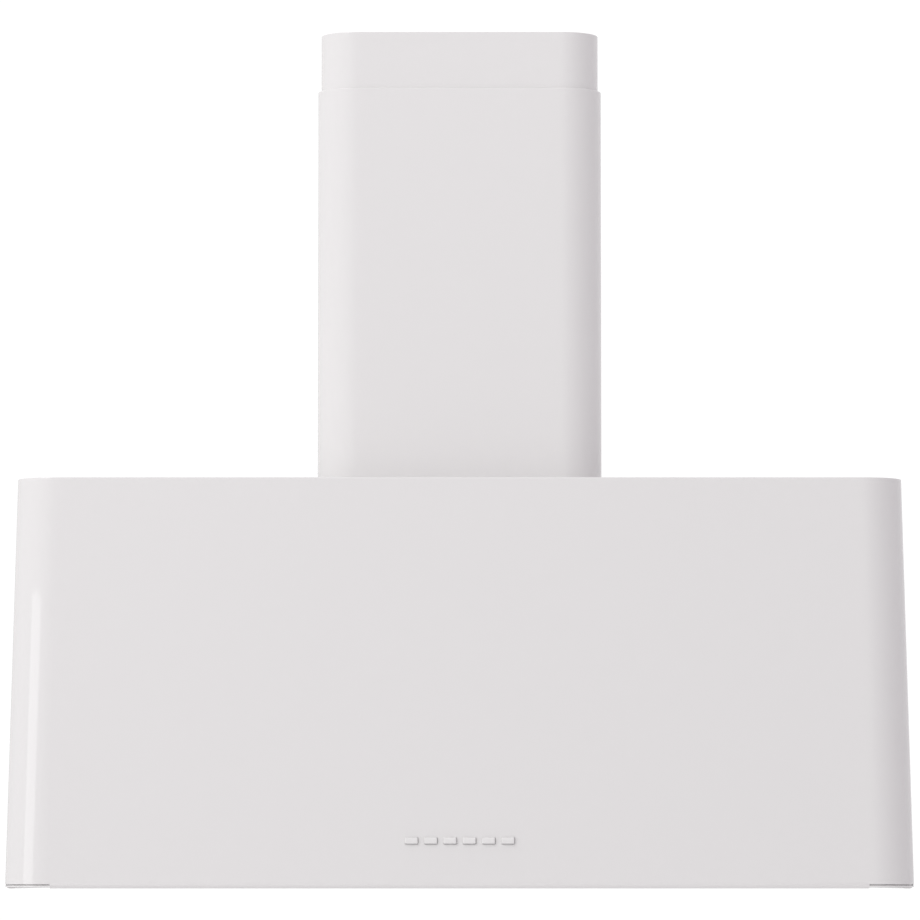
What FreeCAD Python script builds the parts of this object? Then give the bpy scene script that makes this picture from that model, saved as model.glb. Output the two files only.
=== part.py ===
"""Island range hood: a tapered enamelled canopy hung from the ceiling by a telescopic frame.

Millimetres. The origin is the centre of the ceiling plate's upper face, +Z points up, and the side
with the push buttons faces -Y. Every sub-part is an object of one document, bound to the sheet "sizes".
"""

import FreeCAD, Part
import math
import os

import Sketcher

doc = FreeCAD.newDocument("island_range_hood")
sheet = doc.addObject("Spreadsheet::Sheet", "sizes")
nodes = []


# ---------------------------------------------------------------- sizes and formulas


class Size:
    """A number with the formula it came from, so that a feature can be bound to the sheet's cells."""

    def __init__(self, value, text):
        self.value = float(value)
        self.text = text

    def __float__(self):
        return self.value

    def __add__(self, other):
        return Size(self.value + float(other), f"({self.text} + {formula(other)})")

    def __radd__(self, other):
        return Size(float(other) + self.value, f"({formula(other)} + {self.text})")

    def __sub__(self, other):
        return Size(self.value - float(other), f"({self.text} - {formula(other)})")

    def __rsub__(self, other):
        return Size(float(other) - self.value, f"({formula(other)} - {self.text})")

    def __mul__(self, other):
        return Size(self.value * float(other), f"({self.text} * {formula(other)})")

    __rmul__ = __mul__

    def __truediv__(self, other):
        return Size(self.value / float(other), f"({self.text} / {formula(other)})")

    def __neg__(self):
        return Size(-self.value, f"(0 - {self.text})")


def formula(amount):
    """The text of an amount, as FreeCAD's expressions read it."""
    return amount.text if isinstance(amount, Size) else repr(float(amount))


def size(name, value, meaning):
    """Writes one driving dimension into the sheet and gives it back as a Size."""
    size.row += 1
    sheet.set(f"A{size.row}", meaning)
    sheet.set(f"B{size.row}", str(value))
    sheet.setAlias(f"B{size.row}", name)
    return Size(value, f"sizes.{name}")


size.row = 0

# Canopy
canopy_width = size("canopy_width", 900, "canopy width at its lower edge")
canopy_depth = size("canopy_depth", 600, "canopy depth at its lower edge")
canopy_height = size("canopy_height", 406, "canopy height")
canopy_taper = size("canopy_taper", 10, "how far each side leans in over the canopy height")
canopy_corner = size("canopy_corner", 42, "outer radius of the canopy's upright corners")
skin_sheet = size("skin_sheet", 1.2, "thickness of the enamelled sheet")
corner_relief = size("corner_relief", 3.5, "how much shorter the skin is round its corners")
return_lip = size("return_lip", 8, "width of the lip turned in under the skin's straight sides")
deck_sheet = size("deck_sheet", 1.5, "thickness of the deck")
deck_flange = size("deck_flange", 12, "height of the deck's turned-down edge")
panel_clearance = size("panel_clearance", 0.3, "gap between the skin and the panels inside it")
liner_recess = size("liner_recess", 30, "height of the liner's web above the lower edge")
liner_sheet = size("liner_sheet", 1.2, "thickness of the liner")
rim_clearance = size("rim_clearance", 0.1, "gap between the liner's rim and the skin's lips")

# Flues
flue_width = size("flue_width", 290, "outer width and depth of the lower flue")
flue_corner = size("flue_corner", 42, "outer corner radius of the lower flue")
flue_sheet = size("flue_sheet", 1.2, "thickness of both flues")
flue_gap = size("flue_gap", 2, "gap between the two flues")
lower_flue_height = size("lower_flue_height", 408, "height of the lower flue")
upper_flue_showing = size("upper_flue_showing", 58, "how much of the upper flue shows")
telescope_gap = size("telescope_gap", 66, "gap between the upper flue's lower end and the deck")

# Ceiling plate and telescopic frame
plate_sheet = size("plate_sheet", 2, "thickness of the ceiling plate and the frame")
plate_flange = size("plate_flange", 30, "height of the plate's turned-down flanges")
plate_flange_width = size("plate_flange_width", 160, "width of those flanges")
plate_clearance = size("plate_clearance", 0.5, "gap between the plate and the upper flue")
duct_hole_gap = size("duct_hole_gap", 10, "gap round the duct where it passes the ceiling plate")
ceiling_bolt_spacing = size("ceiling_bolt_spacing", 180, "spacing of the ceiling bolts")
ceiling_bolt_radius = size("ceiling_bolt_radius", 4.5, "radius of the ceiling bolt holes")
frame_clearance = size("frame_clearance", 3.6, "gap between the frame's edges and the upper flue")
lower_leg = size("lower_leg", 24, "leg width of the lower uprights")
upper_leg = size("upper_leg", 20, "leg width of the upper uprights")
angle_gap = size("angle_gap", 0.4, "gap between a lower and an upper upright")
upright_shortfall = size("upright_shortfall", 10, "lower uprights shorter than the lower flue")
slot_width = size("slot_width", 7, "width of the slots in the upper uprights")
slot_margin = size("slot_margin", 8, "metal left below each slot")
frame_screw_radius = size("frame_screw_radius", 3, "shank radius of the frame screws")
frame_screw_pitch = size("frame_screw_pitch", 30, "distance between the two screws of an upright")
frame_screw_drop = size("frame_screw_drop", 20, "upper screw below the lower upright's top")
brace_width = size("brace_width", 20, "width of the upper frame's brace")
gland_thread = size("gland_thread", 10, "thread radius of the mains cable gland")
gland_bore = size("gland_bore", 4.5, "radius of the gland's bore")
small_screw_radius = size("small_screw_radius", 2, "shank radius of the small screws and studs")
small_hole_radius = size("small_hole_radius", 2.3, "radius of their clearance holes")

# Outlet and damper
collar_radius = size("collar_radius", 75, "outer radius of the duct collar")
collar_wall = size("collar_wall", 2, "wall of the duct collar")
collar_height = size("collar_height", 54, "height of the collar above the deck")
collar_clearance = size("collar_clearance", 3, "gap round the collar where it passes the deck")
outlet_border = size("outlet_border", 25, "width of the outlet's flange beyond the blower's sides")
outlet_flange_sheet = size("outlet_flange_sheet", 3, "thickness of that flange")
skirt_height = size("skirt_height", 20, "height of the skirt round the blower's mouth")
damper_drop = size("damper_drop", 28, "damper rods below the collar's top")
damper_rod_radius = size("damper_rod_radius", 1.5, "radius of the damper rods")
damper_rod_offset = size("damper_rod_offset", 2.5, "distance of each rod from the middle")
flap_sheet = size("flap_sheet", 1.2, "thickness of the damper flaps")
flap_clearance = size("flap_clearance", 1.5, "gap between the flaps and the collar")

# Blower
housing_width = size("housing_width", 136, "width of the blower housing")
housing_wall = size("housing_wall", 2, "wall of the blower housing")
outlet_depth = size("outlet_depth", 120, "depth of the blower's mouth, inside")
blower_gap = size("blower_gap", 58, "gap between the deck and the scroll's smallest circle")
scroll_radius = size("scroll_radius", 92, "smallest radius of the scroll")
scroll_step = size("scroll_step", 12, "how much the scroll grows each quarter turn")
inlet_overlap = size("inlet_overlap", 10, "inlets smaller in radius than the impeller")
impeller_gap = size("impeller_gap", 10, "gap round the impeller and at its ends")
blade_depth = size("blade_depth", 15, "radial depth of the impeller's blades")
motor_radius = size("motor_radius", 42, "radius of the motor")
motor_gap = size("motor_gap", 8, "gap between the impeller's middle and the motor")
shaft_radius = size("shaft_radius", 4, "radius of the motor shaft")

# Controls
button_width = size("button_width", 13, "width of a push button")
button_height = size("button_height", 6.5, "height of a push button")
button_gap = size("button_gap", 6, "gap between two buttons")
carrier_border = size("carrier_border", 9.5, "carrier above and below the buttons")
carrier_clearance = size("carrier_clearance", 3.05, "gap between the carrier and the liner")
button_proud = size("button_proud", 3, "how far the buttons stand out of the skin")
button_travel = size("button_travel", 2, "how far a button can be pressed")
button_clearance = size("button_clearance", 0.3, "gap round a button")

# Grease filters
filter_side_margin = size("filter_side_margin", 74, "from the canopy's side to the filter opening")
filter_front_margin = size("filter_front_margin", 122, "from the canopy's front to that opening")
filter_gap = size("filter_gap", 2, "gap round each filter")
filter_rear_gap = size("filter_rear_gap", 3, "gap behind each filter")
filter_height = size("filter_height", 12, "thickness of a filter")
filter_border = size("filter_border", 12, "width of a filter's plain borders")
latch_border = size("latch_border", 34, "width of the border that holds the latch")
latch_travel = size("latch_travel", 8, "how far a latch slides")
baffle_width = size("baffle_width", 24, "width of a baffle channel")
baffle_sheet = size("baffle_sheet", 0.8, "thickness of a baffle channel")

# Lamps
lamp_side_inset = size("lamp_side_inset", 120, "lamp centre from the canopy's side")
lamp_front_inset = size("lamp_front_inset", 62, "lamp centre from the canopy's front or back")
lamp_radius = size("lamp_radius", 38, "outer radius of a lamp's bezel")

# Posts between the deck and the liner, and the studs inside the skin
post_inset = size("post_inset", 49, "posts from the canopy's side")
post_offset = size("post_offset", 120, "posts from the canopy's middle")
post_width = size("post_width", 30, "width of a post")
post_foot = size("post_foot", 22, "length of a post's feet")
stud_radius = size("stud_radius", 2.5, "radius of the studs inside the skin")
stud_drop = size("stud_drop", 7, "deck studs below the deck's upper face")
stud_spacing = size("stud_spacing", 250, "spacing of the deck studs along the front and back")

FILTERS = ("left", "middle", "right")
BUTTONS = ("light", "stop", "low_speed", "medium_speed", "high_speed", "boost")
BAFFLES = 7
BLADES = 32

# Sizes, levels and faces that several sub-parts share
rim_lift = skin_sheet + rim_clearance
upper_flue_height = upper_flue_showing + lower_flue_height - telescope_gap
lower_upright_length = lower_flue_height - upright_shortfall
upper_upright_length = upper_flue_height - plate_sheet
duct_hole_radius = collar_radius + duct_hole_gap
outlet_flange = housing_width + 2 * outlet_border
blower_drop = scroll_radius + blower_gap
impeller_radius = scroll_radius - impeller_gap
impeller_width = housing_width - 2 * impeller_gap
inlet_radius = impeller_radius - inlet_overlap
motor_length = housing_width / 2 - motor_gap
button_pitch = button_width + button_gap
carrier_up = button_height / 2 + carrier_border
button_level = liner_recess + liner_sheet + carrier_clearance + carrier_up
canopy_top = -(upper_flue_showing + lower_flue_height)
canopy_bottom = canopy_top - canopy_height
deck_under = canopy_top - deck_sheet
web_under = canopy_bottom + liner_recess
web_top = web_under + liner_sheet
upper_flue_width = flue_width - 2 * (flue_sheet + flue_gap)
upper_flue_corner = flue_corner - flue_sheet - flue_gap
upper_inside_half = upper_flue_width / 2 - flue_sheet
upper_inside_corner = upper_flue_corner - flue_sheet
corner_cut_in = 1 - math.sqrt(0.5)
frame_half = upper_inside_half - corner_cut_in * upper_inside_corner - frame_clearance
upper_frame_half = frame_half - plate_sheet - angle_gap
gland_y = frame_half - 18
base_top = canopy_top + plate_sheet
base_hole_radius = collar_radius + 8
collar_top = canopy_top + collar_height
collar_bore = collar_radius - collar_wall
blower_level = canopy_top - blower_drop
mouth_top = deck_under - outlet_flange_sheet - 1
scroll_outer_radius = scroll_radius + 3 * scroll_step
blower_y = outlet_depth / 2 - scroll_step / 2 - scroll_outer_radius


# ---------------------------------------------------------------- primitives bound to the sheet


def bind(thing, name, amount):
    """Sets a property to an amount, through its formula."""
    thing.setExpression(name, formula(amount))


def put(thing, at, rotation=None):
    """Places an object at three bound coordinates."""
    thing.Placement = FreeCAD.Placement(FreeCAD.Vector(*map(float, at)), rotation or FreeCAD.Rotation())
    for axis, amount in zip("xyz", at):
        bind(thing, f"Placement.Base.{axis}", amount)
    return thing


def box(name, low, high):
    """A block between two corners."""
    block = doc.addObject("Part::Box", name)
    for side, start, end in zip(("Length", "Width", "Height"), low, high):
        bind(block, side, end - start)
    return put(block, low)


TURN = {
    "x": FreeCAD.Rotation(FreeCAD.Vector(0, 1, 0), 90),
    "y": FreeCAD.Rotation(FreeCAD.Vector(1, 0, 0), -90),
    "z": FreeCAD.Rotation(),
}


def cylinder(name, radius, start, length, axis="z"):
    """A cylinder that runs from its start point along +x, +y or +z."""
    rod = doc.addObject("Part::Cylinder", name)
    bind(rod, "Radius", radius)
    bind(rod, "Height", length)
    return put(rod, start, TURN[axis])


def cone(name, radii, start, length, axis="z"):
    """A cone from its first radius at the start to its second at the far end."""
    taper = doc.addObject("Part::Cone", name)
    for which, radius in zip(("Radius1", "Radius2"), radii):
        bind(taper, which, radius)
    bind(taper, "Height", length)
    return put(taper, start, TURN[axis])


def hexagon(name, across_flats, start, length, axis="z"):
    """A hexagonal prism that runs from its start point along an axis."""
    prism = doc.addObject("Part::Prism", name)
    prism.Polygon = 6
    bind(prism, "Circumradius", across_flats / math.sqrt(3))
    bind(prism, "Height", length)
    return put(prism, start, TURN[axis])


def group(name, shapes):
    """Several solids side by side in one object."""
    together = doc.addObject("Part::Compound", name)
    together.Links = shapes
    return together


def cut(name, base, tools):
    """A base less its tools."""
    left = doc.addObject("Part::Cut", name)
    left.Base = base
    left.Tool = tools[0] if len(tools) == 1 else group(name + "_tools", tools)
    return left


def fuse(name, shapes):
    """Shapes made one solid."""
    one = doc.addObject("Part::MultiFuse", name)
    one.Shapes = shapes
    one.Refine = True
    return one


def fixed(name, shape, at, rotation=None):
    """A shape made with Part's own functions, placed after its shape is set."""
    solid = doc.addObject("Part::Feature", name)
    solid.Shape = shape
    return put(solid, at, rotation)


def node(label, thing):
    """Names an object as a sub-part."""
    thing.Label = label
    nodes.append(thing)
    return thing


# ---------------------------------------------------------------- sketches and PartDesign features


def new_body(name):
    return doc.addObject("PartDesign::Body", name)


def sketch(body, name, at=(0, 0, 0), plane="XY_Plane"):
    """An empty sketch on one of the body's own origin planes, moved by bound amounts."""
    drawing = body.newObject("Sketcher::SketchObject", name)
    support = [f for f in body.Origin.OriginFeatures if f.Role == plane]
    drawing.AttachmentSupport = [(support[0], "")]
    drawing.MapMode = "FlatFace"
    for axis, amount in zip("xyz", at):
        bind(drawing, f"AttachmentOffset.Base.{axis}", amount)
    return drawing


def dimension(drawing, kind, references, amount):
    """A dimensional constraint bound to an amount."""
    number = drawing.addConstraint(Sketcher.Constraint(kind, *references, float(amount)))
    bind(drawing, f"Constraints[{number}]", amount)


def line(drawing, start, end):
    ends = [FreeCAD.Vector(float(x), float(y), 0) for x, y in (start, end)]
    return drawing.addGeometry(Part.LineSegment(*ends), False)


def polygon(drawing, points):
    """A closed outline whose every corner is dimensioned from the sketch's origin."""
    sides = [line(drawing, p, q) for p, q in zip(points, points[1:] + points[:1])]
    for side, following in zip(sides, sides[1:] + sides[:1]):
        drawing.addConstraint(Sketcher.Constraint("Coincident", side, 2, following, 1))
    for side, point in zip(sides, points):
        for kind, amount, axis in zip(("DistanceX", "DistanceY"), point, (-2, -1)):
            if float(amount) == 0:
                drawing.addConstraint(Sketcher.Constraint("PointOnObject", side, 1, axis))
            elif float(amount) > 0:
                dimension(drawing, kind, (-1, 1, side, 1), amount)
            else:
                dimension(drawing, kind, (side, 1, -1, 1), -amount)
    return drawing


def rectangle(drawing, width, depth):
    """A rectangle centred on the sketch's origin."""
    x, y = width / 2, depth / 2
    return polygon(drawing, [(-x, -y), (x, -y), (x, y), (-x, y)])


def rounded_rectangle(drawing, width, depth, radius):
    """A centred rectangle with equal round corners, drawn counterclockwise."""
    x, y, r = float(width) / 2, float(depth) / 2, float(radius)
    runs = [
        ((-x + r, -y), (x - r, -y)),
        ((x, -y + r), (x, y - r)),
        ((x - r, y), (-x + r, y)),
        ((-x, y - r), (-x, -y + r)),
    ]
    centres = [(x - r, -y + r), (x - r, y - r), (-x + r, y - r), (-x + r, -y + r)]
    outline = []
    for quarter, ((start, end), centre) in enumerate(zip(runs, centres)):
        outline.append(line(drawing, start, end))
        circle = Part.Circle(FreeCAD.Vector(*centre, 0), FreeCAD.Vector(0, 0, 1), r)
        begin = (quarter - 1) * math.pi / 2
        outline.append(drawing.addGeometry(Part.ArcOfCircle(circle, begin, begin + math.pi / 2), False))
    for piece, following in zip(outline, outline[1:] + outline[:1]):
        drawing.addConstraint(Sketcher.Constraint("Tangent", piece, 2, following, 1))
    for kind, run in zip(("Horizontal", "Vertical") * 2, outline[::2]):
        drawing.addConstraint(Sketcher.Constraint(kind, run))
    for arc in outline[3::2]:
        drawing.addConstraint(Sketcher.Constraint("Equal", outline[1], arc))
    dimension(drawing, "Radius", (outline[1],), radius)
    dimension(drawing, "DistanceX", (outline[6], 1, outline[2], 1), width)
    dimension(drawing, "DistanceY", (outline[0], 1, outline[4], 1), depth)
    drawing.addConstraint(Sketcher.Constraint("Symmetric", outline[0], 1, outline[4], 1, -1, 1))
    return drawing


def circles(drawing, radius, centres):
    """Equal circles whose centres are dimensioned from the sketch's origin."""
    for x, y in centres:
        middle = FreeCAD.Vector(float(x), float(y), 0)
        ring = drawing.addGeometry(Part.Circle(middle, FreeCAD.Vector(0, 0, 1), float(radius)), False)
        dimension(drawing, "Radius", (ring,), radius)
        for kind, amount, axis in (("DistanceX", x, -2), ("DistanceY", y, -1)):
            if float(amount) == 0:
                drawing.addConstraint(Sketcher.Constraint("PointOnObject", ring, 3, axis))
            elif float(amount) > 0:
                dimension(drawing, kind, (-1, 1, ring, 3), amount)
            else:
                dimension(drawing, kind, (ring, 3, -1, 1), -amount)
    return drawing


def feature(body, kind, name, profile):
    """A PartDesign feature on a profile, made the body's tip."""
    made = body.newObject(f"PartDesign::{kind}", name)
    made.Profile = profile
    body.Tip = made
    return made


def pad(body, name, profile, length):
    made = feature(body, "Pad", name, profile)
    bind(made, "Length", length)
    return made


def pocket(body, name, profile, depth, upwards=False):
    """Cuts against the sketch's normal, or along it if upwards is true."""
    made = feature(body, "Pocket", name, profile)
    made.Reversed = upwards
    bind(made, "Length", depth)
    return made


def loft(body, kind, name, lower, upper):
    made = feature(body, kind, name, lower)
    made.Sections = [upper]
    made.Ruled = True
    return made


def turned(label, outline, at, axis="z"):
    """A sub-part turned about its own axis: its outline holds (radius, height) corners."""
    body = new_body(label)
    drawing = polygon(sketch(body, label + "_outline", plane="XZ_Plane"), outline)
    made = feature(body, "Revolution", label + "_turned", drawing)
    made.ReferenceAxis = (drawing, ["V_Axis"])
    made.Angle = 360
    put(body, at, TURN[axis])
    return body


def tube(label, width, corner, wall, low, high):
    """A rounded square sleeve between two levels."""
    body = new_body(label)
    outside = rounded_rectangle(sketch(body, label + "_outside", (0, 0, low)), width, width, corner)
    pad(body, label + "_pad", outside, high - low)
    inner = width - 2 * wall
    inside = rounded_rectangle(sketch(body, label + "_inside", (0, 0, high)), inner, inner, corner - wall)
    pocket(body, label + "_hollow", inside, high - low)
    return body


# ---------------------------------------------------------------- canopy


def skin_section(body, name, level, inset):
    """The canopy's outline at its top or its bottom, in from the outer face by an inset."""
    lean = 2 * canopy_taper if level is canopy_top else 0
    drawing = sketch(body, name, (0, 0, level))
    width = canopy_width - lean - 2 * inset
    depth = canopy_depth - lean - 2 * inset
    return rounded_rectangle(drawing, width, depth, canopy_corner - inset)


def make_canopy_skin():
    body = new_body("canopy_skin")
    outside = [skin_section(body, "skin_outside_low", canopy_bottom, 0)]
    outside.append(skin_section(body, "skin_outside_high", canopy_top, 0))
    loft(body, "AdditiveLoft", "skin_outside", *outside)
    inside = [skin_section(body, "skin_inside_low", canopy_bottom, skin_sheet)]
    inside.append(skin_section(body, "skin_inside_high", canopy_top, skin_sheet))
    loft(body, "SubtractiveLoft", "skin_inside", *inside)
    add_return_lips(body)
    relieve_corners(body)
    cut_button_holes(body)
    node("canopy_skin", body)


def add_return_lips(body):
    """The lips turned in under the four straight sides, clear of the round corners."""
    run_x = canopy_width / 2 - canopy_corner
    run_y = canopy_depth / 2 - canopy_corner
    across = return_lip + skin_sheet / 2
    side_x = (canopy_width - skin_sheet - across) / 2
    side_y = (canopy_depth - skin_sheet - across) / 2
    runs = [
        ("front", (0, -side_y), 2 * run_x, across),
        ("back", (0, side_y), 2 * run_x, across),
        ("left", (-side_x, 0), across, 2 * run_y),
        ("right", (side_x, 0), across, 2 * run_y),
    ]
    for name, (x, y), width, depth in runs:
        drawing = sketch(body, f"lip_{name}_outline", (x, y, canopy_bottom))
        pad(body, f"lip_{name}", rectangle(drawing, width, depth), skin_sheet)


def relieve_corners(body):
    """Shortens the skin round its corners, where a sheet can't be folded in."""
    side = canopy_corner + skin_sheet
    x = canopy_width / 2 - canopy_corner + side / 2
    y = canopy_depth / 2 - canopy_corner + side / 2
    for number, (sx, sy) in enumerate(((-1, -1), (1, -1), (1, 1), (-1, 1))):
        drawing = sketch(body, f"relief_{number}_outline", (sx * x, sy * y, canopy_bottom))
        pocket(body, f"relief_{number}", rectangle(drawing, side, side), corner_relief, upwards=True)


def button_x(number):
    return (number - (len(BUTTONS) - 1) / 2) * button_pitch


def skin_front(level):
    """Y of the canopy's front face at a height above its lower edge."""
    return canopy_taper * level / canopy_height - canopy_depth / 2


def cut_button_holes(body):
    front = skin_front(button_level)
    width = button_width + 2 * button_clearance
    height = button_height + 2 * button_clearance
    for number, name in enumerate(BUTTONS):
        at = (button_x(number), canopy_bottom + button_level, -front + 5)
        drawing = sketch(body, f"{name}_hole_outline", at, "XZ_Plane")
        pocket(body, f"{name}_hole", rectangle(drawing, width, height), skin_sheet + 10)


def make_canopy_deck():
    """The pan that closes the canopy's top, with its edge turned down."""
    body = new_body("canopy_deck")
    inset = 2 * (canopy_taper + skin_sheet + panel_clearance)
    width, depth = canopy_width - inset, canopy_depth - inset
    corner = canopy_corner - skin_sheet - panel_clearance
    low = canopy_top - deck_flange
    outside = rounded_rectangle(sketch(body, "deck_outside", (0, 0, low)), width, depth, corner)
    pad(body, "deck_pad", outside, deck_flange)
    wall = 2 * deck_sheet
    inside = sketch(body, "deck_inside", (0, 0, low))
    rounded_rectangle(inside, width - wall, depth - wall, corner - deck_sheet)
    pocket(body, "deck_hollow", inside, deck_flange - deck_sheet, upwards=True)
    duct = circles(sketch(body, "deck_duct", (0, 0, canopy_top)), collar_radius + collar_clearance, [(0, 0)])
    pocket(body, "deck_duct_hole", duct, deck_sheet)
    bolts = circles(sketch(body, "deck_bolts", (0, 0, canopy_top)), frame_screw_radius + 0.3, base_bolts())
    pocket(body, "deck_bolt_holes", bolts, deck_sheet)
    gland = circles(sketch(body, "deck_gland", (0, 0, canopy_top)), gland_thread + 0.3, [(0, gland_y)])
    pocket(body, "deck_gland_hole", gland, deck_sheet)
    screws = sketch(body, "deck_screws", (0, 0, canopy_top))
    circles(screws, small_hole_radius, flange_screw_places())
    pocket(body, "deck_screw_holes", screws, deck_sheet)
    level = canopy_top - stud_drop
    rows = [
        ("front_back", "XZ_Plane", depth, [(x, level) for x in (-stud_spacing, 0, stud_spacing)]),
        ("sides", "YZ_Plane", width, [(0, level)]),
    ]
    for name, plane, reach, places in rows:
        drawing = sketch(body, f"stud_{name}_outline", (0, 0, reach / 2 + 5), plane)
        pocket(body, f"stud_{name}_holes", circles(drawing, stud_radius + 0.2, places), reach + 10)
    node("canopy_deck", body)


def make_skin_studs():
    """Studs on the skin's inner face with their nuts: eight for the deck's edge, two for the carrier."""
    level = canopy_top - stud_drop
    inset = canopy_taper + skin_sheet + panel_clearance
    face_x, face_y = canopy_width / 2 - inset, canopy_depth / 2 - inset
    studs = []
    for number, x in enumerate((-stud_spacing, 0, stud_spacing)):
        studs.append(stud(f"stud_front_{number}", (x, -face_y, level), "y", 1, deck_sheet))
        studs.append(stud(f"stud_back_{number}", (x, face_y, level), "y", -1, deck_sheet))
    studs.append(stud("stud_left", (-face_x, 0, level), "x", 1, deck_sheet))
    studs.append(stud("stud_right", (face_x, 0, level), "x", -1, deck_sheet))
    for name, side in (("left", -1), ("right", 1)):
        root = (side * carrier_stud_x, shoulder_front + 0.1, button_z)
        studs.append(stud(f"stud_carrier_{name}", root, "y", 1, carrier_front + 3 - root[1]))
    node("skin_studs", group("skin_studs", studs))


def stud(name, start, axis, side, grip):
    """A welded stud from just outside start, and the nut that closes on a grip."""
    x, y, z = start
    radius = stud_radius

    def moved(amount):
        return (x + amount, y, z) if axis == "x" else (x, y + amount, z)

    nut, length, gap = 1.6 * radius, grip + 1.6 * radius + 4, panel_clearance
    shank_start = moved(-gap) if side > 0 else moved(-length)
    nut_start = moved(grip) if side > 0 else moved(-grip - nut)
    shank = cylinder(name + "_shank", radius, shank_start, length + gap, axis)
    return fuse(name, [shank, hexagon(name + "_nut", 3.2 * radius, nut_start, nut, axis)])


post_x = canopy_width / 2 - post_inset


def make_canopy_posts():
    """Four bent strips between the deck and the liner, with a foot at each end."""
    posts = []
    for number, (sx, sy) in enumerate(((-1, -1), (1, -1), (1, 1), (-1, 1))):
        y0, y1 = sy * post_offset - post_width / 2, sy * post_offset + post_width / 2
        x0, x1 = span(sx, post_x, post_x + plate_sheet)
        upright = box(f"post_{number}_web", (x0, y0, web_top), (x1, y1, deck_under))
        x0, x1 = span(sx, post_x, post_x + post_foot)
        lower = box(f"post_{number}_low", (x0, y0, web_top), (x1, y1, web_top + plate_sheet))
        upper = box(f"post_{number}_high", (x0, y0, deck_under - plate_sheet), (x1, y1, deck_under))
        whole = fuse(f"post_{number}_whole", [upright, lower, upper])
        holes = [
            cylinder(f"post_{number}_hole_{hole}", small_screw_radius, (x, y, web_top - 1), plate_sheet + 2)
            for hole, (x, y) in enumerate(post_screws(sx, sy))
        ]
        posts.append(cut(f"post_{number}", whole, holes))
    node("canopy_posts", group("canopy_posts", posts))


def post_screws(side_x, side_y):
    """The two screws through a post's lower foot."""
    x = side_x * (post_x + post_foot / 2 + 1)
    return [(x, side_y * post_offset + half * 8) for half in (-1, 1)]


liner_lean = canopy_taper * (liner_recess + liner_sheet) / canopy_height
liner_inset = skin_sheet + liner_lean + panel_clearance
opening_width = canopy_width - 2 * filter_side_margin
opening_front = filter_front_margin - canopy_depth / 2
opening_back = canopy_depth / 2 - filter_front_margin
filter_width = (opening_width - 4 * filter_gap) / len(FILTERS)
filter_front = opening_front + filter_gap
filter_back = opening_back - filter_rear_gap
lamp_x = canopy_width / 2 - lamp_side_inset
lamp_y = canopy_depth / 2 - lamp_front_inset
lamp_hole_radius = lamp_radius - 5
LAMPS = {
    "front_left": (-lamp_x, -lamp_y),
    "front_right": (lamp_x, -lamp_y),
    "rear_left": (-lamp_x, lamp_y),
    "rear_right": (lamp_x, lamp_y),
}


def make_canopy_liner():
    """The pan that closes the canopy's underside, with the filter opening and the lamp holes."""
    body = new_body("canopy_liner")
    width, depth = canopy_width - 2 * liner_inset, canopy_depth - 2 * liner_inset
    corner = canopy_corner - skin_sheet - panel_clearance
    low = canopy_bottom + rim_lift
    outside = rounded_rectangle(sketch(body, "liner_outside", (0, 0, low)), width, depth, corner)
    pad(body, "liner_pad", outside, web_top - low)
    wall = 2 * liner_sheet
    inside = sketch(body, "liner_inside", (0, 0, low))
    rounded_rectangle(inside, width - wall, depth - wall, corner - liner_sheet)
    pocket(body, "liner_hollow", inside, web_under - low, upwards=True)
    opening = sketch(body, "filter_opening_outline", (0, 0, web_top))
    rectangle(opening, opening_width, opening_back - opening_front)
    pocket(body, "filter_opening", opening, liner_sheet)
    lamps = sketch(body, "lamp_holes_outline", (0, 0, web_top))
    circles(lamps, lamp_hole_radius, list(LAMPS.values()))
    pocket(body, "lamp_holes", lamps, liner_sheet)
    screws = circles(
        sketch(body, "liner_screws_outline", (0, 0, web_top)),
        small_hole_radius,
        liner_screw_places(),
    )
    pocket(body, "liner_screw_holes", screws, liner_sheet)
    node("canopy_liner", body)


def liner_screw_places():
    return [place for sx, sy in ((-1, -1), (1, -1), (1, 1), (-1, 1)) for place in post_screws(sx, sy)]


def pan_screw(name, start, length, axis="z", side=1):
    """A pan-head screw: the head's underside at start, its shank along side * axis, a hexagon key recess."""
    x, y, z = start
    head, recess = 2.2, 1.2

    def moved(amount):
        return (x + amount, y, z) if axis == "x" else (x, y, z + amount)

    head_start = moved(-head) if side > 0 else moved(0)
    shank_start = moved(0) if side > 0 else moved(-length)
    key_start = moved(-head) if side > 0 else moved(head - recess)
    cap = cylinder(name + "_head", 2 * small_screw_radius, head_start, head, axis)
    shank = cylinder(name + "_shank", small_screw_radius, shank_start, length, axis)
    key = hexagon(name + "_key", 1.5 * small_screw_radius, key_start, recess, axis)
    return cut(name, fuse(name + "_whole", [cap, shank]), [key])


def make_liner_screws():
    screws = []
    for number, (x, y) in enumerate(liner_screw_places()):
        screws.append(pan_screw(f"liner_screw_{number}", (x, y, web_under), 8))
    node("liner_screws", group("liner_screws", screws))


# ---------------------------------------------------------------- flues


def make_flues():
    top = canopy_top + lower_flue_height
    node("lower_flue", tube("lower_flue", flue_width, flue_corner, flue_sheet, canopy_top, top))
    sleeve = tube("upper_sleeve", upper_flue_width, upper_flue_corner, flue_sheet, -upper_flue_height, 0)
    sinks = []
    for number, place in enumerate(flue_screw_places()):
        sinks.append(flue_screw(f"flue_sink_{number}", *place, 0.1))
    node("upper_flue", cut("upper_flue", sleeve, sinks))


def flue_screw_places():
    """(side, y, z) of the screws through the upper flue's left and right faces."""
    return [(side, half * plate_flange_width / 4, -plate_flange / 2) for side in (-1, 1) for half in (-1, 1)]


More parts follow.
